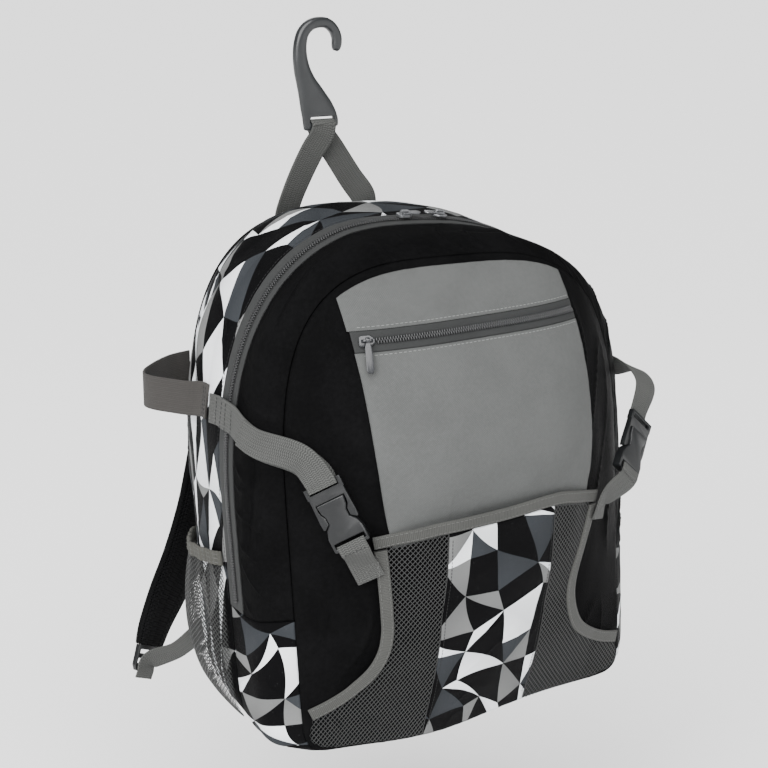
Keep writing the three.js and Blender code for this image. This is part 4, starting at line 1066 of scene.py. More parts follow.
PRINT = Printed("printed_polyester", (0.2, 0.21, 0.22), "print_cloth", rough=0.6, pitch=0.0005,
                shine=0.03)
PRINT_SMALL = Printed("printed_polyester_small", (0.2, 0.21, 0.22), "print_cloth", rough=0.6,
                      pitch=0.0005, shine=0.03, scale=27.0, squeeze=(1.0, 0.78, 0.55))
BLACK = Woven("black_polyester", (0.0038, 0.0038, 0.004), "black_cloth", rough=0.42,
              pitch=0.00045, spread=0.25, shine=0.006, lint=0.03)
GREY = Woven("grey_oxford", (0.072, 0.0745, 0.073), "grey_cloth", rough=0.75, sheen=0.02,
             pitch=0.0009, depth=0.0002, spread=0.1, shine=0.15)
PAD = Woven("spacer_mesh", (0.003, 0.003, 0.0033), "padding", rough=0.7, pitch=0.0022,
            depth=0.0006, spread=0.3, shine=0.05)
WEB = Ribbed("ribbed_webbing", (0.038, 0.039, 0.037), "webbing", rough=0.75, sheen=0.03)
LOOP = Ribbed("brown_webbing", (0.022, 0.0203, 0.0188), "loop_webbing", rough=0.78, sheen=0.03,
              across=0.0016, along=0.0011, depth=0.0003)
TAPE = Ribbed("zip_tape_weave", (0.021, 0.0218, 0.0218), "zip_tape", rough=0.8, sheen=0.02,
              across=0.0011, along=0.0008, slant=0.0, depth=0.00018, shine=0.12)
BIND = Ribbed("grosgrain", (0.036, 0.0365, 0.034), "binding", rough=0.8, sheen=0.03,
              across=0.0009, along=0.0015, slant=0.0, depth=0.0003)
ELASTIC = Ribbed("gathered_elastic", (0.036, 0.036, 0.031), "binding", rough=0.78, sheen=0.03,
                 across=0.0014, along=0.0012, slant=0.0, depth=0.0004)
NET = Yarn("net_yarn", (0.022, 0.0226, 0.0224), "net", rough=0.6, sheen=0.02)
COIL = Moulded("coil_plastic", (0.014, 0.0143, 0.015), "zip_chain", rough=0.34, shine=0.4)
THREAD = Yarn("pale_thread", (0.16, 0.165, 0.16), rough=0.7)
PALE_GREY = Yarn("grey_thread", (0.07, 0.071, 0.068), rough=0.7)
DARK_THREAD = Yarn("dark_thread", (0.008, 0.008, 0.0085), rough=0.7)
METAL = Moulded("lacquered_zip_metal", (0.22, 0.225, 0.235), "hardware", rough=0.3, metal=0.85,
                coat=0.2, shine=0.5)
SMOKE = Moulded("smoky_plastic", (0.014, 0.015, 0.017), "zip_plastic", rough=0.2, coat=0.15,
                shine=0.4)
ACETAL = Moulded("buckle_plastic", (0.006, 0.0065, 0.007), "buckle", rough=0.34, shine=0.3)
NYLON = Moulded("hook_nylon", (0.0125, 0.0135, 0.0145), "hook", rough=0.34, coat=0.05, shine=0.4)


# Sub-assemblies
class Side(Enum):
    """Left and right as seen from the front."""

    LEFT = -1
    RIGHT = 1

    @property
    def word(self) -> str:
        """The word used in piece names."""
        return self.name.lower()


def spindles(centre: Array, axis: Array, across: Array, up: Array, length: float, wide: float,
             tall: float, arch: float = 0.0) -> tuple[Array, Array]:
    """Small six-sided bars, thin at both ends, all in one mesh.

    Args:
        centre: (n, 3) middles in mm.
        axis: (n, 3) unit directions that the bars run along.
        across: (n, 3) unit directions of their width.
        up: (n, 3) unit directions of their height.
        length: length in mm.
        wide: width in mm.
        tall: height in mm.
        arch: how far the middle stands above the ends, in mm.

    Returns:
        Vertices and faces.
    """
    stops, size = np.array([-1.0, -0.6, 0.6, 1.0]), np.array([0.35, 1.0, 1.0, 0.35])
    turn = np.arange(6) * np.pi / 3
    run = np.broadcast_to((stops * length / 2)[:, None], (4, 6))
    a = np.cos(turn)[None] * size[:, None] * wide / 2
    b = np.sin(turn)[None] * size[:, None] * tall / 2 + (arch * (1 - stops ** 2))[:, None]
    p = centre[:, None, None]
    for way, far in ((axis, run), (across, a), (up, b)):
        p = p + way[:, None, None] * far[None, ..., None]
    one = np.vstack([grid_faces(4, 6, wrap_m=True),
                     [[0, 1, 2, 3], [0, 3, 4, 5], [18, 21, 20, 19], [18, 23, 22, 21]]])
    faces = (one[None] + (np.arange(len(centre)) * 24)[:, None, None]).reshape(-1, 4)
    return p.reshape(-1, 3), faces


@dataclass
class Sewing:
    """Thread rows: sub-assemblies lay their lines, and build() sinks them onto the cloth."""

    pitch: float = 3.9
    length: float = 2.9
    width: float = 0.62
    height: float = 0.5
    arch: float = 0.12
    reach: float = 5.0        # how far above its line a stitch may meet the cloth
    lines: list = field(default_factory=list)

    def line(self, place: Array, out: Array, thread: "Finish", pitch: float = 0.0) -> None:
        """A row of stitches through places, with the cloth's outward directions there."""
        self.lines.append((place, out, thread, pitch or self.pitch))

    def along(self, track: Track, across: float, thread: "Finish", start: float = 2.0,
              end: float = 2.0) -> None:
        """A row that runs with a band, across mm beside its middle."""
        run = np.linspace(start, track.length() - end, 240)
        self.line(*track.spot(run, np.full_like(run, across)), thread)

    def box(self, track: Track, start: float, end: float, half: float, thread: "Finish") -> None:
        """A box with crossed diagonals between two places along a band."""
        corner = [(start, -half), (end, -half), (end, half), (start, half), (start, -half),
                  (end, half), (end, -half), (start, half)]
        for (a, c), (b, d) in zip(corner, corner[1:]):
            share = np.linspace(0, 1, 24)
            self.line(*track.spot(mix(a, b, share), mix(c, d, share)), thread, 2.7)

    def build(self) -> None:
        """Drop every stitch onto the cloth below it and make one piece for each thread."""
        deps = bpy.context.evaluated_depsgraph_get()
        soft = [o for o in bpy.context.scene.objects if o.type == "MESH" and o.get("cloth")]
        trees = [BVHTree.FromObject(o, deps) for o in soft]
        meshes: dict = {}
        for place, out, thread, pitch in self.lines:
            run = walked(place)
            want = np.linspace(0, run[-1], max(3, int(run[-1] / pitch)))
            line, up = (sample(want, run, a) for a in (place, out))
            middle, up = (line[1:] + line[:-1]) / 2, unit(up[1:] + up[:-1])
            high = np.array([self.drop(trees, p, n) for p, n in zip(middle, up)])
            axis = unit(np.diff(line, axis=0))
            across = unit(np.cross(up, axis))
            long = min(self.length, pitch * 0.72)
            part = spindles(middle + up * (high + 0.1)[:, None], axis, across, up, long,
                            self.width, self.height, self.arch)
            meshes.setdefault(thread, []).append(part)
        for thread, parts in meshes.items():
            start = np.cumsum([0] + [len(v) for v, _ in parts])
            faces = np.vstack([f + k for (_, f), k in zip(parts, start)])
            obj = new_object(f"stitches_{thread.name}", np.vstack([v for v, _ in parts]), faces)
            dress(outward(obj), thread)

    def drop(self, trees: Sequence[BVHTree], place: Array, out: Array) -> float:
        """Height in mm of the outermost cloth within reach of a place, along out."""
        start = Vector(to_row(place + out * self.reach))
        hits = [t.ray_cast(start, Vector(-out), 0.012)[3] for t in trees]
        near = [h for h in hits if h is not None]
        return self.reach - min(near) / MM if near else 0.0


SEWING = Sewing()


def smooth_table(rows: Sequence[Sequence[float]], x: Array) -> Array:
    """Reading of a table along a smooth curve through its rows."""
    dense = spline([np.array(r, float) for r in rows], np.linspace(0, 1, 400))
    return np.interp(x, dense[:, 0], dense[:, 1])


@dataclass
class Body:
    """The sewn body: walls, corners, base, padded back and domed front."""

    form: BagForm = FORM
    edge: float = 0.008       # clearance at a seam, in ring steps
    seam_gap: float = 0.7     # from the front seam line to the rim of the front face
    pad_rise: float = 12.0    # height of the padded back
    gap: float = 0.35

    def build(self) -> None:
        """Make every panel."""
        self.walls()
        self.corners()
        self.base()
        self.front()
        self.back()

    def walls(self) -> None:
        """Printed wall behind the zip and black wall in front of it."""
        f = self.form
        lap, s = grid_points(np.linspace(-f.corner, f.corner, 360),
                             np.linspace(self.edge, 2 - self.edge, 62))
        cloth("printed_wall", f.wall(lap, s), PRINT, "gusset_print",
              relief=Relief(1.0, 0.9, 0.5, 1.0, 60, 2.0, 1.2, 11))
        lap, s = grid_points(np.linspace(-f.zip_end + 0.001, f.zip_end - 0.001, 360),
                             np.linspace(3 + 2 * self.edge, 5, 44))
        cloth("black_wall", f.wall(lap, s), BLACK, "front_gusset",
              relief=Relief(1.3, 2.0, 0.6, 0.7, 60, 3.4, 1.0, 23))

    def corners(self) -> None:
        """Printed lower corners in front of the zip's ends."""
        f = self.form
        for side in Side:
            lap, s = grid_points(np.linspace(f.zip_end + 0.001, f.corner - 0.001, 60),
                                 np.linspace(2 + 2 * self.edge, 5, 60))
            cloth(f"printed_corner_{side.word}", f.wall(lap * side.value, s), PRINT_SMALL,
                  f"corner_print_{side.word}", relief=Relief(0.8, 0.7, 0.4, 0.9, 40, 2, 0.8, 31))

    def base(self) -> None:
        """Base panel from corner to corner through the middle."""
        f = self.form
        lap, s = grid_points(np.linspace(f.corner + 0.002, 4 - f.corner - 0.002, 130),
                             np.linspace(self.edge, 5, 72))
        cloth("base_cloth", f.wall(np.where(lap > 2, lap - 4, lap), s), BLACK, "base_panel",
              relief=Relief(1.2, 0.8, 0.4, 0.9, 60, 2, 0.2, 41))

    def seam_ring(self, ring: int, count: int) -> Array:
        """Points once round a ring, evenly spaced."""
        lap = np.linspace(-2, 2, 1601)[:-1]
        p = self.form.ring_point(ring, lap)
        return even(np.vstack([p, p[:1]]), count + 1)[:-1]

    def front(self) -> None:
        """Domed front: rings that shrink from the seam to the middle, laid on the face."""
        f = self.form
        rim = self.seam_ring(5, 330)
        reach = np.hypot(rim[:, 0], rim[:, 2] - f.widest)
        k = (1 - self.seam_gap / reach)[:, None] * (1 - np.linspace(0, 1, 70) ** 1.15 * 0.985)
        x, z = rim[:, :1] * k, f.widest + (rim[:, 2:] - f.widest) * k
        p, n = f.face(x, z), f.face_normal(x, z)
        d = reach[:, None] * (1 - k)
        covered = clamp(1 - clamp((np.abs(x + 3) - 100) / 12)) * clamp((z - 165) / 12)
        low = clamp((30 - z) / 20)
        relief = Relief(1.3, 2.0, 0.5, 0.7, 60, 3.2, 1.35, 53)
        high = relief.height(x, z, d) * (1 - 0.9 * covered) * (1 - 0.8 * low)
        p = p + n * high[..., None]
        faces = grid_faces(*x.shape, wrap_n=True)[:, ::-1]
        obj = new_object("black_front", p.reshape(-1, 3), faces,
                         np.stack([x, z], -1).reshape(-1, 2) * MM)
        thicken(obj, 1.6)
        dress(obj, BLACK, "front_face")

    def back(self) -> None:
        """Padded back: flat skin to the bag, crowned skin outside with two channels."""
        f = self.form
        rim = f.slump(self.seam_ring(0, 300))
        mid = vec(0, 0, 215)
        k = np.r_[0.02, 0.3, 0.6, 0.9, 1.0, 1.003, 1.005, 1.003,
                  1 - np.linspace(0, 1, 64) ** 1.4 * 0.98]
        flat = len(k) - 64
        rise = 3.0 + (self.pad_rise - 3.0) * (1 - np.exp(-np.maximum(1 - k, 0) / 0.03))
        rise[:flat] = np.r_[np.full(4, self.gap), self.gap, self.gap + 0.5, 1.6, 2.6]
        p = mid + (rim[:, None] - mid) * k[None, :, None]
        x, z = p[..., 0], p[..., 2]
        out = np.arange(len(k)) >= flat
        channel = 3.5 * np.exp(-(((np.abs(x + 2) - 38) / 9) ** 2)) * clamp((1 - k) * 12)
        quilt = 0.5 * noise(x / 40, z / 40, 5) + 0.35 * noise(x / 14, z / 14, 6)
        y = rise[None] + np.where(out[None], (quilt * clamp((1 - k) * 20)) - channel, 0)
        p = np.stack([x, y, z], -1)
        verts, faces = tube_mesh(np.swapaxes(p, 0, 1))
        uv = np.vstack([np.swapaxes(np.stack([x, z], -1), 0, 1).reshape(-1, 2),
                        np.zeros((2, 2))]) * MM
        obj = outward(new_object("back_pad", verts, faces, uv))
        dress(obj, PAD, "back_panel")


@dataclass
class CoilZip:
    """A coil zip's rows of coil turns along the middle."""

    pitch: float = 2.3
    wide: float = 5.6
    tall: float = 1.8

    def teeth(self, name: str, track: Track, node: str) -> bpy.types.Object:
        """Coil turns: each is a rounded bar from one side to just past the middle.

        Turns from the left and the right alternate along the track.
        """
        count = int(track.length() / self.pitch) * 2
        place, side, out = track.read(np.linspace(0.5, track.length() - 0.5, count))
        along = np.cross(side, out)
        hand = np.where(np.arange(count) % 2 == 0, 1.0, -1.0)
        centre = place + side * (hand * self.wide * 0.19)[:, None]
        p, faces = spindles(centre, side, along, out, self.wide * 0.64, self.pitch * 0.72,
                            self.tall)
        obj = outward(new_object(name, p, faces))
        return dress(obj, COIL, node)


@dataclass
class MainZip:
    """The zip that runs over the top from corner to corner."""

    form: BagForm = FORM
    coil: CoilZip = field(default_factory=CoilZip)
    tape_thick: float = 1.0
    beside: float = 3.7             # stitch rows beside the coil's middle
    seams: tuple = (1.95, 3.06)     # ring steps of the stitch rows beside the tape

    def build(self) -> None:
        """Tape, coil, stitch rows, sliders and pulls."""
        f = self.form
        end = f.zip_end - 0.002
        lap, s = grid_points(np.linspace(-end, end, 420), np.linspace(2.008, 3.008, 22))
        sunk = 0.5 * np.exp(-(((s - 2.5) / 0.16) ** 2)) - 0.3
        cloth("zip_tape_main", f.wall(lap, s, -sunk), TAPE, "main_zip_tape", thick=1.0,
              relief=Relief(0.15, 0.0, 0.25, 0.2, 50, seed=61))
        laps = np.linspace(-end + 0.02, end - 0.02, 900)
        track = Track.on(f.wall, laps, np.full_like(laps, 2.5), self.tape_thick / 2 + 1.0)
        self.coil.teeth("zip_coil_main", track, "main_zip_chain")
        for across in (-self.beside, self.beside):
            SEWING.along(track, across, DARK_THREAD)
        laps = np.linspace(-end + 0.01, end - 0.01, 700)
        for ring in self.seams:
            at = np.full_like(laps, ring)
            SEWING.line(f.wall(laps, at), f.wall_normal(laps, at), DARK_THREAD, 3.4)
        for side in Side:
            moulded(f"zip_slider_{side.word}", f"main_slider_{side.word}", METAL, edge=0.5)
            moulded(f"zip_pull_{side.word}", f"main_pull_{side.word}", METAL,
                    body=f"pull_{side.word}", edge=0.3)


@dataclass
class FrontPocket:
    """Grey patch pocket with a zip across its upper part."""

    form: BagForm = FORM
    stand: float = 3.0
    puff: float = 8.0
    half_tape: float = 7.8
    lip: float = 8.2                # from the zip's middle to each panel's edge
    row: float = 10.4               # from the zip's middle to each stitch row
    left: tuple = ((172, -92), (215, -101), (255, -106), (330, -110), (362, -111), (400, -112))
    right: tuple = ((172, 92), (215, 100), (240, 103), (330, 104), (362, 105), (400, 104))

    def zip_line(self, x: Array) -> Array:
        """Height of the zip's middle."""
        return 362 + 0.028 * x

    def top(self, x: Array) -> Array:
        """Height of the patch's upper edge, just inside the front seam."""
        curve = (1 - np.abs(x / 168) ** 3.4) ** (1 / 3.4)
        return self.form.widest + 0.966 * (417 - self.form.widest) * curve

    def build(self) -> None:
        """Both grey panels, the tape, the coil, slider and pull."""
        f = self.form
        c, r = grid_points(np.linspace(0, 1, 130), np.linspace(0, 1, 110))
        low = ApronPocket().top_edge(mix(-94, 94, c)) - 4
        z = mix(low, self.zip_line(mix(-111, 105, c)) - self.lip, r)
        x = mix(smooth_table(self.left, z), smooth_table(self.right, z), c)
        rise = mix(2.2, self.stand, clamp((z - 205) / 25))
        rise = rise + self.puff * np.sin(np.pi * c) * np.sin(np.pi * clamp((z - 208) / 150))
        cloth("grey_panel", f.face(x, z, rise), GREY, "front_pocket_panel",
              relief=Relief(0.9, 0.45, 0.3, 0.7, 60, 1.8, 0.5, 71), open_rims="c",
              mask=clamp((z - 195) / 15))
        c, r = grid_points(np.linspace(0, 1, 130), np.linspace(0, 1, 44))
        x = mix(-112, 104.5, c)
        z = mix(self.zip_line(x) + self.lip, self.top(x), r)
        cloth("grey_top", f.face(x, z, self.stand), GREY, "front_pocket_top",
              relief=Relief(0.5, 0.4, 0.4, 0.7, 40, 1.8, 0.1, 77))
        x, d = grid_points(np.linspace(-110.4, 104.4, 160),
                           np.linspace(-self.half_tape, self.half_tape, 14))
        sunk = 0.4 * np.exp(-((d / 3.5) ** 2))
        cloth("zip_tape_front", f.face(x, self.zip_line(x) + d, self.stand - 0.3 - sunk), TAPE,
              "front_zip_tape", thick=1.0)
        run = np.linspace(-93, 102, 300)
        track = Track.on(f.face, run, self.zip_line(run), self.stand + 1.2)
        CoilZip().teeth("zip_coil_front", track, "front_zip_chain")
        x = np.linspace(-105, 103, 120)
        for d in (-self.row, self.row):
            z = self.zip_line(x) + d
            SEWING.line(f.face(x, z, self.stand), f.face_normal(x, z), THREAD)
        moulded("zip_slider_front", "front_slider", SMOKE, edge=0.5)
        moulded("zip_pull_front", "front_pull", SMOKE, body="pull_front", edge=0.4)


@dataclass(frozen=True)
class Net:
    """Knitted net: a sheet with diamond holes in rows that are half a step apart."""

    pitch: float = 4.0
    rise: float = 2.5
    open_share: float = 0.84
    thick: float = 0.7

    def plane(self, outline: Array) -> tuple[Array, Array]:
        """Vertices and quads of the net cut to an outline in its own plane.

        Cells whose middle is inside are kept. Each is four quads between its corners and the
        same corners shrunk towards its middle; places beyond the outline move onto it.

        Args:
            outline: (n, 2) closed outline in mm.

        Returns:
            (m, 2) places and (k, 4) faces.
        """
        low, high = outline.min(0) - self.pitch, outline.max(0) + self.pitch
        j = np.arange(int((high[1] - low[1]) / self.rise) + 1)
        i = np.arange(int((high[0] - low[0]) / self.pitch) + 1)
        gi, gj = grid_points(i, j)
        centre = np.stack([low[0] + (gi + 0.5 * (gj % 2)) * self.pitch,
                           low[1] + gj * self.rise], -1).reshape(-1, 2)
        centre = centre[self.inside(outline, centre)]
        corner = np.array([[0.5, 0], [0, 1], [-0.5, 0], [0, -1]]) * [self.pitch, self.rise]
        outer, inner = centre[:, None] + corner, centre[:, None] + corner * self.open_share
        verts = np.round(np.vstack([outer.reshape(-1, 2), inner.reshape(-1, 2)]), 3)
        k, n = np.arange(4), len(centre)
        base = (np.arange(n) * 4)[:, None]
        quads = np.stack([base + k, base + (k + 1) % 4, base + (k + 1) % 4 + 4 * n,
                          base + k + 4 * n], -1).reshape(-1, 4)
        uniq, back = np.unique(verts, axis=0, return_inverse=True)
        quads = back.ravel()[quads]
        out = ~self.inside(outline, uniq)
        dense = even(np.vstack([outline, outline[:1]]), 3000)
        for chunk in np.array_split(np.flatnonzero(out), 20):
            gap = ((uniq[chunk, None] - dense[None]) ** 2).sum(-1)
            uniq[chunk] = dense[gap.argmin(1)]
        return uniq, quads

    @staticmethod
    def inside(outline: Array, points: Array) -> Array:
        """Whether each point is inside the outline, by counting crossings."""
        a, b = outline, np.roll(outline, -1, 0)
        x, y = points[:, :1], points[:, 1:]
        over = (a[:, 1] > y) != (b[:, 1] > y)
        rise = np.where(b[:, 1] == a[:, 1], 1e-9, b[:, 1] - a[:, 1])
        cross = a[:, 0] + (y - a[:, 1]) * (b[:, 0] - a[:, 0]) / rise
        return ((over & (x < cross)).sum(1) % 2).astype(bool)

    def build(self, name: str, outline: Array, lay: Callable, node: str, area: float,
              size: tuple[float, float], held: Held, rests: str) -> bpy.types.Object:
        """Net laid on the bag.

        Args:
            name: the piece's name.
            outline: closed outline in the net's plane.
            lay: takes plane places and gives places in mm.
            node: the CAD node that it stands for.
            area: flat area in square mm; not used.
            size: flat width and length in mm; not used.
            held: how it is kept; not used.
            rests: what it is sewn to; not used.

        Returns:
            The finished piece.
        """
        flat, quads = self.plane(outline)
        p = lay(flat)
        tri = p[quads[:, :3]]
        n = np.cross(tri[:, 1] - tri[:, 0], tri[:, 2] - tri[:, 0])
        if (n * (tri[:, 0] - vec(0, -95, 200))).sum() < 0:
            quads = quads[:, ::-1]
        obj = new_object(name, p, quads, flat * MM, smooth=False)
        thicken(obj, self.thick)
        dress(obj, NET, node)
        return obj


@dataclass
class ApronPocket:
    """Open pocket over the lower front: printed middle, two net wings, folded bindings."""

    form: BagForm = FORM
    net: Net = field(default_factory=Net)
    half: float = 53.0
    bind: float = 11.0
    gap: float = 0.35
    arch: tuple = ((189, 113, 112), (172, 111, 106), (152, 109, 98), (132, 107, 92),
                   (112, 106, 91), (94, 109, 95), (78, 117, 104), (64, 131, 121),
                   (53, 148, 141), (45, 164, 163))
    upper: tuple = ((-113, 190), (-70, 198), (0, 203), (60, 205), (113, 192))

    def low_edge(self, x: Array) -> Array:
        """Height of the base seam."""
        r = (1 - np.minimum(np.abs(x / 168), 1) ** 14) ** (1 / 14)
        return self.form.widest - (self.form.widest - 2) * 0.985 * r

    def top_edge(self, x: Array) -> Array:
        """Height of the pocket's opening."""
        return smooth_table(self.upper, x)

    def free_edge(self, side: Side, inset: float, count: int) -> Array:
        """The wing's arched free edge, moved inwards by inset mm, as (x, z) on the right."""
        column = 1 if side is Side.LEFT else 2
        p = even(spline([vec(r[column], r[0]) for r in self.arch], np.linspace(0, 1, 600)), count)
        t = unit(np.gradient(p, axis=0))
        return p + np.stack([t[:, 1], -t[:, 0]], 1) * inset

    def build(self) -> None:
        """Printed middle, wings and bindings."""
        f = self.form
        x, r = grid_points(np.linspace(-self.half + self.gap, self.half - self.gap, 70),
                           np.linspace(0, 1, 120))
        z = mix(self.low_edge(x), self.top_edge(x) - self.gap, r)
        cloth("apron_middle", f.apron(x, z), PRINT_SMALL, "apron_print",
              relief=Relief(1.0, 0.6, 0.3, 0.8, 50, 2, 1.2, 83))
        for side in Side:
            self.wing(side)
        run = np.linspace(-113, 113, 200)
        track = Track.on(f.apron, run, self.top_edge(run) + self.bind / 2 + self.gap, 0.0)
        webbing("apron_hem", track, self.bind, 2.4, BIND, "apron_top_binding",
                rests="apron_middle")
        for across in (-3.6, 3.6):
            SEWING.along(track, across, PALE_GREY)
        z = np.linspace(14, 194, 120)
        for x in (-self.half + 3, self.half - 3):
            at = np.full_like(z, x)
            SEWING.line(f.apron(at, z), f.apron_normal(at, z), DARK_THREAD, 3.2)

    def wing(self, side: Side) -> None:
        """One net wing and its arch binding."""
        f, sign = self.form, side.value
        inner = self.free_edge(side, self.bind + 1 - 2.5, 120)
        top = np.linspace(self.half + self.gap, inner[0, 0], 30)
        top = np.stack([top, self.top_edge(sign * top) - 2 * self.gap + 2], 1)
        low_x = np.linspace(163.4, self.half + self.gap, 60)
        low = np.stack([low_x, self.low_edge(low_x)], 1)
        outline = np.vstack([top[:-1], inner, low])
        self.net.build(f"apron_net_{side.word}_mesh", outline,
                       lambda q: f.apron(sign * q[:, 0], q[:, 1]), f"apron_net_{side.word}",
                       self.flat_area(outline), tuple(np.ptp(outline, axis=0) + 4),
                       Held.STRETCHED, "apron_middle")
        edge = self.free_edge(side, self.bind / 2, 140)
        edge[0, 1] = self.top_edge(sign * edge[0, 0]) - 1.5
        track = Track.on(f.apron, sign * edge[:, 0], edge[:, 1], 0.5)
        webbing(f"arch_binding_{side.word}", track, self.bind, 2.2, BIND,
                f"apron_arch_binding_{side.word}", rests=f"apron_net_{side.word}_mesh")
        for across in (-3.7, 3.7):
            SEWING.along(track, across, PALE_GREY)

    @staticmethod
    def flat_area(outline: Array) -> float:
        """Area inside an outline, by the shoelace sum."""
        x, y = outline[:, 0], outline[:, 1]
        return float(abs((x * np.roll(y, -1) - y * np.roll(x, -1)).sum()) / 2)


@dataclass
class SidePocket:
    """Net bottle pocket on a side wall, gathered by elastic along its top."""

    side: Side
    form: BagForm = FORM
    net: Net = field(default_factory=Net)
    first: float = 0.14
    last: float = 1.93
    low_lap: float = 1.485
    per_ring: float = 62.0    # mm of cloth for one ring step
    per_lap: float = 372.0    # mm of cloth for one lap

    def top_lap(self, s: Array) -> Array:
        """Lap of the pocket's upper edge."""
        knots = np.linspace(0.1, 1.95, 12)
        laps = [self.form.lap_at(mix(136, 156, k / 2), k, 0.7, 1.5) for k in knots]
        return np.interp(s, knots, laps)

    def puff(self, s: Array, f: Array) -> Array:
        """How far the net stands off the wall."""
        belly = np.sin(np.pi * clamp((s - 0.14) / 1.79)) ** 0.6
        return (3.2 + belly * (13 * np.sin(np.pi * (0.18 + 0.62 * f)) ** 1.2 - 2)
                + 0.8 * np.cos(s * 22) * f * belly)

    def build(self) -> None:
        """Net and elastic."""
        s = np.linspace(self.first, self.last, 80)
        top = self.top_lap(s)
        up = np.stack([s * self.per_ring, -top * self.per_lap], 1)
        low = np.stack([s[::-1] * self.per_ring, np.full(80, -self.low_lap * self.per_lap)], 1)

        def lay(q: Array) -> Array:
            """Plane place to the bulging pocket wall."""
            ring, lap = q[:, 0] / self.per_ring, -q[:, 1] / self.per_lap
            f = (self.low_lap - lap) / (self.low_lap - self.top_lap(ring))
            return self.form.wall(self.side.value * lap, ring, self.puff(ring, f))

        outline = np.vstack([up, low])
        self.net.build(f"side_net_{self.side.word}_mesh", outline, lay,
                       f"side_net_{self.side.word}",
                       ApronPocket.flat_area(outline), tuple(np.ptp(outline, axis=0) + 6),
                       Held.GATHERED, "printed_wall")
        belly = np.sin(np.pi * clamp((s - 0.14) / 1.79)) ** 0.6
        lift = 3.4 + belly * (13 * math.sin(math.pi * 0.8) ** 1.2 - 2)
        s = np.linspace(self.first, self.last, 260)
        lift = np.interp(s, np.linspace(self.first, self.last, 80), lift)
        gather = 0.55 * np.sin(s * self.per_ring / 5.2 * 2 * np.pi + 0.8 * noise(s * 9, s * 0, 3))
        share = np.interp(s, np.linspace(self.first, self.last, 80), belly)
        lift = lift + 0.8 * np.cos(s * 22) * share
        lap = self.top_lap(s) - 0.019
        place = self.form.wall(self.side.value * lap, s, lift + gather)
        smooth = self.form.wall(self.side.value * lap, s, lift)
        out = self.form.wall_normal(self.side.value * lap, s)
        side = unit(np.cross(out, unit(np.gradient(smooth, axis=0))))
        track = Track(place, side, out)
        webbing(f"side_elastic_{self.side.word}_band", track, 12.6, 2.0, ELASTIC,
                f"side_elastic_{self.side.word}", rests="printed_wall")
        for across in (-3.6, 0.0, 3.6):
            SEWING.along(track, across, PALE_GREY)


@dataclass
class BatLoop:
    """Stiff webbing loop standing off the back corner."""

    side: Side
    form: BagForm = FORM
    level: float = 294.0

    def build(self) -> None:
        """The loop through the same stops as its solid."""
        f, s = self.form, self.side.value
        stops = []
        for ring, lift in ((1.62, 2.4), (1.48, 2.6)):
            lap = s * f.lap_at(self.level, ring)
            stops.append((f.wall(lap, ring, lift), f.wall_normal(lap, ring)))
        for u, y, a, b in ((197.5, -82, 0.9, -0.4), (207, -67, 0.88, -0.46),
                           (215, -52, 0.93, -0.35), (217, -40, 1, 0.12),
                           (211.5, -27, 0.78, 0.62), (197, -11, 0.66, 0.74),
                           (181, 2.5, 0.58, 0.8), (168, 10.5, 0.35, 0.93), (150, 15.5, 0.1, 1)):
            stops.append((f.slump(vec(s * u, y, self.level)), vec(s * a, b, 0)))
        track = Track.free(stops, 150)
        webbing(f"bat_loop_{self.side.word}_web", track, 30, 2.2, LOOP,
                f"bat_loop_{self.side.word}", rests="printed_wall")
        for run in (2.6, 6.5):
            across = np.linspace(-12.5, 12.5, 20)
            SEWING.line(*track.spot(np.full(20, run), across), DARK_THREAD, 2.8)


@dataclass
class Buckle:
    """Side release buckle: its two halves and the frame that they lie in."""

    side: Side
    upper: tuple
    lower: tuple
    out: tuple
    form: BagForm = FORM

    def local(self, x: float, z: float) -> Array:
        """A place x mm down the buckle and z mm off its middle plane."""
        a, b = self.form.slump(vec(*self.upper)), vec(*self.lower) - vec(*self.upper)
        origin, axes = frame_of(a, b, vec(*self.out))
        return origin + axes[0] * x + axes[2] * z

    @property
    def normal(self) -> Array:
        """Direction off the cloth."""
        return unit(vec(*self.out))

    def build(self) -> None:
        """Both moulded halves."""
        word = self.side.word
        moulded(f"buckle_{word}_prongs", f"buckle_plug_{word}", ACETAL, edge=0.7)
        moulded(f"buckle_{word}_body", f"buckle_socket_{word}", ACETAL, edge=0.9)


BUCKLES = {Side.LEFT: Buckle(Side.LEFT, (-149, -223, 250), (-129, -243, 196), (-0.56, -0.82, 0.1)),
           Side.RIGHT: Buckle(Side.RIGHT, (187, -209.5, 252), (150, -233, 206),
                              (0.08, -0.98, -0.06))}


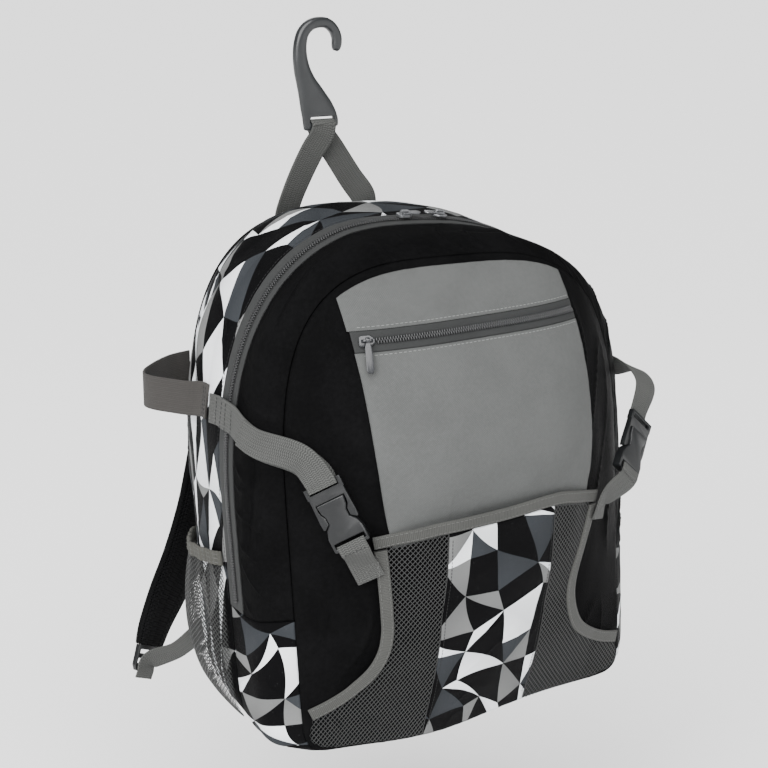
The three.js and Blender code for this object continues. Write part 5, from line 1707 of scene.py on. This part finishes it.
@dataclass
class CompressionStraps:
    """Webbing from the printed walls over the zip to the buckles, and tabs to the apron."""

    form: BagForm = FORM
    apron: ApronPocket = field(default_factory=ApronPocket)
    width: float = 25.0
    thick: float = 1.7

    def on(self, side: Side, ring: float, z: float, lift: float) -> tuple[Array, Array]:
        """A stop on the wall."""
        lap = side.value * self.form.lap_at(z, ring)
        return self.form.wall(lap, ring, lift), self.form.wall_normal(lap, ring)

    def build(self) -> None:
        """Both straps, the left strap's free end and the tabs."""
        f = self.form
        b, n = BUCKLES[Side.LEFT], BUCKLES[Side.LEFT].normal
        wrap = vec(-0.72, -0.68, 0.1)
        left = [self.on(Side.LEFT, *row) for row in (
            (1.7, 290, 2.2), (1.88, 291, 2.6), (2.08, 292, 3.8), (2.5, 292, 5.6),
            (3.1, 290, 3.6), (3.7, 285, 3.2), (4.3, 277, 3.4))]
        left += [(f.face(-156, 267, 5.2), wrap), (b.local(-6, -3.9), n), (b.local(4.4, -4.2), n)]
        track = Track.free(left, 240)
        webbing("compression_web_left", track, self.width, self.thick, WEB,
                "compression_strap_left", rests="printed_wall")
        SEWING.box(track, 2.5, 13, 10, PALE_GREY)
        tail = [(b.local(4.4, 3.9), n), (b.local(-3, 4.4), n), (f.face(-154, 269, 10.5), wrap),
                self.on(Side.LEFT, 4.3, 279, 7.2), self.on(Side.LEFT, 3.75, 285, 6.4)]
        webbing("compression_tail_left", Track.free(tail, 110), self.width, self.thick, WEB,
                "strap_tail_left", rests="compression_web_left")
        b, n = BUCKLES[Side.RIGHT], BUCKLES[Side.RIGHT].normal
        right = [self.on(Side.RIGHT, r, 289, h) for r, h in ((1.7, 1.75), (1.88, 3), (2.05, 4.6))]
        right += [(f.slump(vec(*p)), vec(*q)) for p, q in (
            ((201, -150, 291), (0.9, -0.15, 0.45)), ((209, -172, 290), (0.45, -0.5, 0.75)),
            ((206, -193, 278), (0.2, -0.88, 0.42)))]
        right += [(b.local(-8, -4.2), n + vec(0.05, 0, 0)), (b.local(4.4, -4.3), n)]
        webbing("compression_web_right", Track.free(right, 240), self.width, self.thick, WEB,
                "compression_strap_right", rests="printed_wall")
        for side, over, end, low in ((Side.LEFT, (-120, 181), (-114, 165), 3.1),
                                     (Side.RIGHT, (118, 193), (113, 176), 2.6)):
            b = BUCKLES[side]
            stops = [(b.local(51.8, 5.5), b.normal), (b.local(57, 5.9), b.normal),
                     (b.local(62, 4.8), b.normal),
                     (f.apron(*over, 5.4), f.apron_normal(*over)),
                     (f.apron(*end, low), f.apron_normal(*end))]
            track = Track.free(stops, 60)
            webbing(f"apron_tab_{side.word}_web", track, self.width - 1,
                    self.thick, WEB, f"apron_tab_{side.word}", rests="apron_hem")
            end = track.length()
            SEWING.box(track, end - 15, end - 2.5, 9.5, PALE_GREY)
            across = np.linspace(-10, 10, 20)
            SEWING.line(*track.spot(np.full(20, 9.0), across), DARK_THREAD, 2.8)


@dataclass
class ShoulderStrap:
    """Padded strap down the back, its ladder lock and its webbing to the base corner."""

    side: Side
    form: BagForm = FORM
    pad: float = 11.0
    # outward place, depth behind the back seam, height, width
    rows: tuple = ((46, 16.4, 400, 58), (51, 21.5, 384, 62), (62, 46, 350, 66), (76, 60, 300, 66),
                   (92, 68, 245, 66), (108, 70, 190, 65), (127, 66, 142, 62), (151, 59, 100, 57),
                   (177, 51, 64, 51), (195, 46, 36, 43), (203, 43, 20, 38))

    def line(self, f: Array) -> tuple[Array, Array, Array, Array]:
        """Centre line, across, outward and half width at shares f of the strap."""
        s = self.side.value
        pts = [self.form.slump(vec(s * u, y, z)) for u, y, z, _ in self.rows]
        p, e = spline(pts, f), 1e-4
        along = unit(spline(pts, np.minimum(f + e, 1)) - spline(pts, np.maximum(f - e, 0)))
        out = unit(np.stack([s * mix(0.05, 0.45, f), np.ones_like(f), 0.1 + 0 * f], 1))
        across = unit(np.cross(out, along))
        share = np.linspace(0, 1, len(self.rows))
        width = smooth_table(list(zip(share, [r[3] for r in self.rows])), f) / 2
        return p, across, np.cross(along, across), width

    def build(self) -> None:
        """Pad with pinched seams and edge stitching, lock and webbing."""
        word, s = self.side.word, self.side.value
        f = np.linspace(0, 1, 150)
        p, across, out, half = self.line(f)
        w = np.linspace(0, 2 * np.pi, 45)[:-1]
        a, b = squared(np.cos(w), 0.45), squared(np.sin(w), 0.75)
        thin = 1 - 0.25 * np.exp(-np.minimum(f, 1 - f) / 0.02)
        run = walked(p)
        bulk = self.pad / 2 * (1 + 0.06 * noise(run[:, None] / 26, a[None] * 2, 7 + s))
        seam = 1 - 0.28 * np.exp(-(((np.abs(a) - 0.86) / 0.05) ** 2))
        rings = (p[:, None] + across[:, None] * (a[None] * half[:, None])[..., None]
                 + out[:, None] * (b[None] * seam[None] * bulk * thin[:, None])[..., None])
        verts, faces = tube_mesh(rings)
        uv = sleeve_uv(w[None] * 12, run[:, None])
        obj = outward(new_object(f"shoulder_pad_{word}", verts, faces, uv))
        dress(obj, PAD, f"shoulder_strap_{word}")
        for sign in (-1, 1):
            edge = p + across * (half * 0.86 * sign)[:, None] + out * (self.pad / 2 * 0.8)
            SEWING.line(edge[4:-4], out[4:-4], DARK_THREAD, 3.6)
        moulded(f"ladder_lock_{word}", f"strap_lock_{word}", ACETAL, edge=0.6)
        end, along = p[-1], unit(p[-1] - p[-2])
        o = unit(vec(s * 0.45, 1, 0.1))
        origin, axes = frame_of(end, along, o - along * (o @ along))

        def local(x: float, z: float) -> Array:
            """A place beside the lock."""
            return origin + axes[0] * x + axes[2] * z

        tip, foot = local(15.5, -3.7), self.form.slump(vec(s * 149, 7.6, 44))
        stops = [(foot, vec(s * 0.2, 1, 0)),
                 (self.form.slump(vec(s * 160, 9.5, 40)), vec(s * 0.1, 1, 0.1)),
                 (mix(foot, tip, 0.55) + vec(0, 2, -6), vec(0, 0.9, 0.3)),
                 (tip, axes[2]), (local(24, -3.9), axes[2]), (local(31, -3.6), axes[2])]
        webbing(f"strap_web_{word}", Track.free(stops, 110), 24.4, 1.7, WEB,
                f"strap_webbing_{word}", rests="base_cloth")


@dataclass
class Hanger:
    """The webbing triangle and the moulded fence hook."""

    form: BagForm = FORM
    width: float = 24.0

    def build(self) -> None:
        """Loop and hook."""
        self.loop()
        self.hook()

    def loop(self) -> None:
        """Taut inverted V, threaded through the hook's slot."""
        bar, mid, d = BEARING[2] - 86.3, -11.2, BEARING[1]
        # Up in front of the hook's lower bar, over it through the slot and down behind it.
        run = ((-45, 13.4, 406), (-45, 9.2, 424), (-43, 3.4, 438), (-35.5, -1.6, 458),
               (-22.5, -7, 484), (mid - 3, d - 5, bar - 8), (mid, d - 5.1, bar),
               (mid, d - 4.7, bar + 3.6), (mid, d, bar + 5.5), (mid, d + 4.7, bar + 3.6),
               (mid, d + 5.1, bar), (mid + 3, d + 5, bar - 8), (2, 0.6, 482), (19.5, 1.8, 455),
               (33.5, 3.4, 435), (37, 9.2, 421), (37, 13.4, 403))
        out = ((0, 1, 0.1), (0, 1, 0.25), (0, 1, 0.3), (0, 1, 0.1), (0, 1, 0), (0, 1, 0),
               (0, 1, 0), (0, 0.7, -0.7), (0, 0, -1), (0, -0.7, -0.7), (0, -1, 0), (0, -1, 0),
               (0, -1, 0), (0, -1, -0.1), (0, -1, -0.3), (0, -1, -0.25), (0, -1, -0.1))
        f = self.form
        stops = [(vec(x + f.lean * (z - f.widest), y, z), vec(*n))
                 for (x, y, z), n in zip(run, out)]
        webbing("hook_webbing", Track.free(stops, 320), self.width, 1.7, WEB, "hook_loop",
                rests="back_pad")

    def hook(self) -> None:
        """Hook: a spine table swept with a squared section, cut by the webbing's slot."""
        spine = ((15.2, -20.5, 3.0, 2.6), (16.4, -16, 4.4, 3.6), (16.6, -9, 4.6, 4.0),
                 (13.4, -1.6, 4.6, 4.2), (6.8, 3.8, 4.7, 4.3), (-1.8, 4.9, 4.8, 4.4),
                 (-10.6, 2.6, 5.0, 4.5), (-17.2, -3.6, 5.3, 4.6), (-20.2, -13, 5.8, 4.7),
                 (-20.6, -24, 6.5, 4.8), (-18.6, -36, 7.6, 4.8), (-14.8, -47, 9.4, 4.6),
                 (-10.4, -57, 12.2, 4.3), (-6.6, -66, 14.8, 3.9), (-3.6, -73, 16.4, 3.6),
                 (-1.2, -80, 17.6, 3.4), (0.2, -86, 17.6, 3.2), (0.6, -89.5, 16, 2.6))
        row = spline([np.array(r, float) for r in spine], np.linspace(0, 1, 170))
        t = unit(np.gradient(row[:, :2], axis=0))
        w = np.linspace(0, 2 * np.pi, 49)[:-1]
        e, o = squared(np.cos(w), 0.75), squared(np.sin(w), 0.75)
        at_end = clamp(np.minimum(np.arange(170), 169 - np.arange(170)) / 5.0)
        round_off = np.sqrt(1 - (1 - at_end) ** 2 * 0.6)
        e = e[None] * (row[:, 2] * round_off)[:, None]
        o = o[None] * (row[:, 3] * round_off)[:, None]
        p = np.stack([row[:, :1] + t[:, 1:] * e, o, row[:, 1:2] - t[:, :1] * e], -1) + BEARING
        verts, faces = tube_mesh(p)
        obj = outward(new_object("hook_moulding", verts, faces))
        cutter = new_object("slot_cutter", self.slot_block(), grid_faces(2, 24, wrap_m=True))
        with edited(cutter.data) as bm:
            bmesh.ops.contextual_create(bm, geom=[x for x in bm.edges if x.is_boundary])
            bmesh.ops.holes_fill(bm, edges=[x for x in bm.edges if x.is_boundary])
        cut = obj.modifiers.new("slot", "BOOLEAN")
        cut.object, cut.operation, cut.solver = cutter, "DIFFERENCE", "EXACT"
        deps = bpy.context.evaluated_depsgraph_get()
        mesh = bpy.data.meshes.new_from_object(obj.evaluated_get(deps))
        obj.modifiers.clear()
        obj.data = mesh
        bpy.data.objects.remove(cutter)
        for poly in mesh.polygons:
            poly.use_smooth = True
        dress(obj, NYLON, "fence_hook")

    def slot_block(self) -> Array:
        """Rounded slot outline, 25.2 by 5.4 mm, drawn right through the hook."""
        w = np.linspace(0, 2 * np.pi, 25)[:-1]
        x = 10.2 * np.sign(np.cos(w)) + 2.4 * np.cos(w)
        z = 2.7 * np.clip(1.35 * np.sin(w), -1, 1)
        side = np.stack([x + 0.2, 0 * x, z - 80.5], 1) + BEARING
        return np.vstack([side - vec(0, 8, 0), side + vec(0, 8, 0)])


@dataclass
class Stage:
    """Pale floor, soft light and the camera at the photograph's angle."""

    target: tuple = (0.009, -0.095, -0.306)
    camera: tuple = (-0.752, -1.362, 0.090)
    lens: float = 80.7
    floor: float = -0.86
    sun: float = 8.6
    spread: float = 70.0      # width of the overhead light in degrees
    glow: float = 0.32
    # name, place, size, power
    lamps: tuple = (("key", (-1.6, -1.0, 0.4), 0.9, 24), ("fill", (1.2, -1.8, 0.2), 1.0, 5),
                    ("rim", (0.6, 1.4, 1.2), 1.0, 6))

    def build(self) -> None:
        """Floor, world, lamps and camera."""
        mesh = bpy.data.meshes.new("floor")
        e, z = 30.0, self.floor
        mesh.from_pydata([(-e, -e, z), (e, -e, z), (e, e, z), (-e, e, z)], [], [(0, 1, 2, 3)])
        floor = linked(bpy.data.objects.new("floor", mesh))
        paint = bpy.data.materials.new("pale_floor")
        paint.use_nodes = True
        shader = paint.node_tree.nodes["Principled BSDF"]
        shader.inputs["Base Color"].default_value = (0.95, 0.95, 0.95, 1)
        shader.inputs["Roughness"].default_value = 0.9
        mesh.materials.append(paint)
        world = bpy.data.worlds.new("studio")
        bpy.context.scene.world = world
        world.use_nodes = True
        back = world.node_tree.nodes["Background"]
        back.inputs["Color"].default_value = (1, 1, 1, 1)
        back.inputs["Strength"].default_value = self.glow
        sky = linked(bpy.data.objects.new("overhead", bpy.data.lights.new("overhead", "SUN")))
        sky.data.energy, sky.data.angle = self.sun, math.radians(self.spread)
        self.aim(sky, (-1.0, -1.3, 1.5), (0, 0, 0))
        for row in self.lamps:
            self.lamp(*row)
        eye = linked(bpy.data.objects.new("camera", bpy.data.cameras.new("camera")))
        eye.data.lens, eye.data.sensor_width = self.lens, 36
        eye.data.clip_end = 100
        self.aim(eye, self.camera, self.target)
        bpy.context.scene.camera = eye

    def lamp(self, name: str, place: tuple, size: float, power: float) -> None:
        """A square soft box aimed at the bag."""
        data = bpy.data.lights.new(name, "AREA")
        data.size, data.energy = size, power
        obj = linked(bpy.data.objects.new(name, data))
        self.aim(obj, place, (0, -0.1, -0.35))

    @staticmethod
    def aim(obj: bpy.types.Object, place: tuple, target: tuple) -> None:
        """Put an object somewhere and turn its -z to a target."""
        way = Vector(target) - Vector(place)
        obj.location = place
        obj.rotation_euler = way.to_track_quat("-Z", "Y").to_euler()


def main() -> None:
    """Build every sub-assembly in order."""
    logging.basicConfig(level=logging.INFO, format="%(name)s: %(message)s")
    Stage().build()
    Body().build()
    MainZip().build()
    FrontPocket().build()
    ApronPocket().build()
    for side in Side:
        SidePocket(side).build()
        BatLoop(side).build()
        BUCKLES[side].build()
        ShoulderStrap(side).build()
    CompressionStraps().build()
    Hanger().build()
    SEWING.build()


if __name__ == "__main__":
    main()
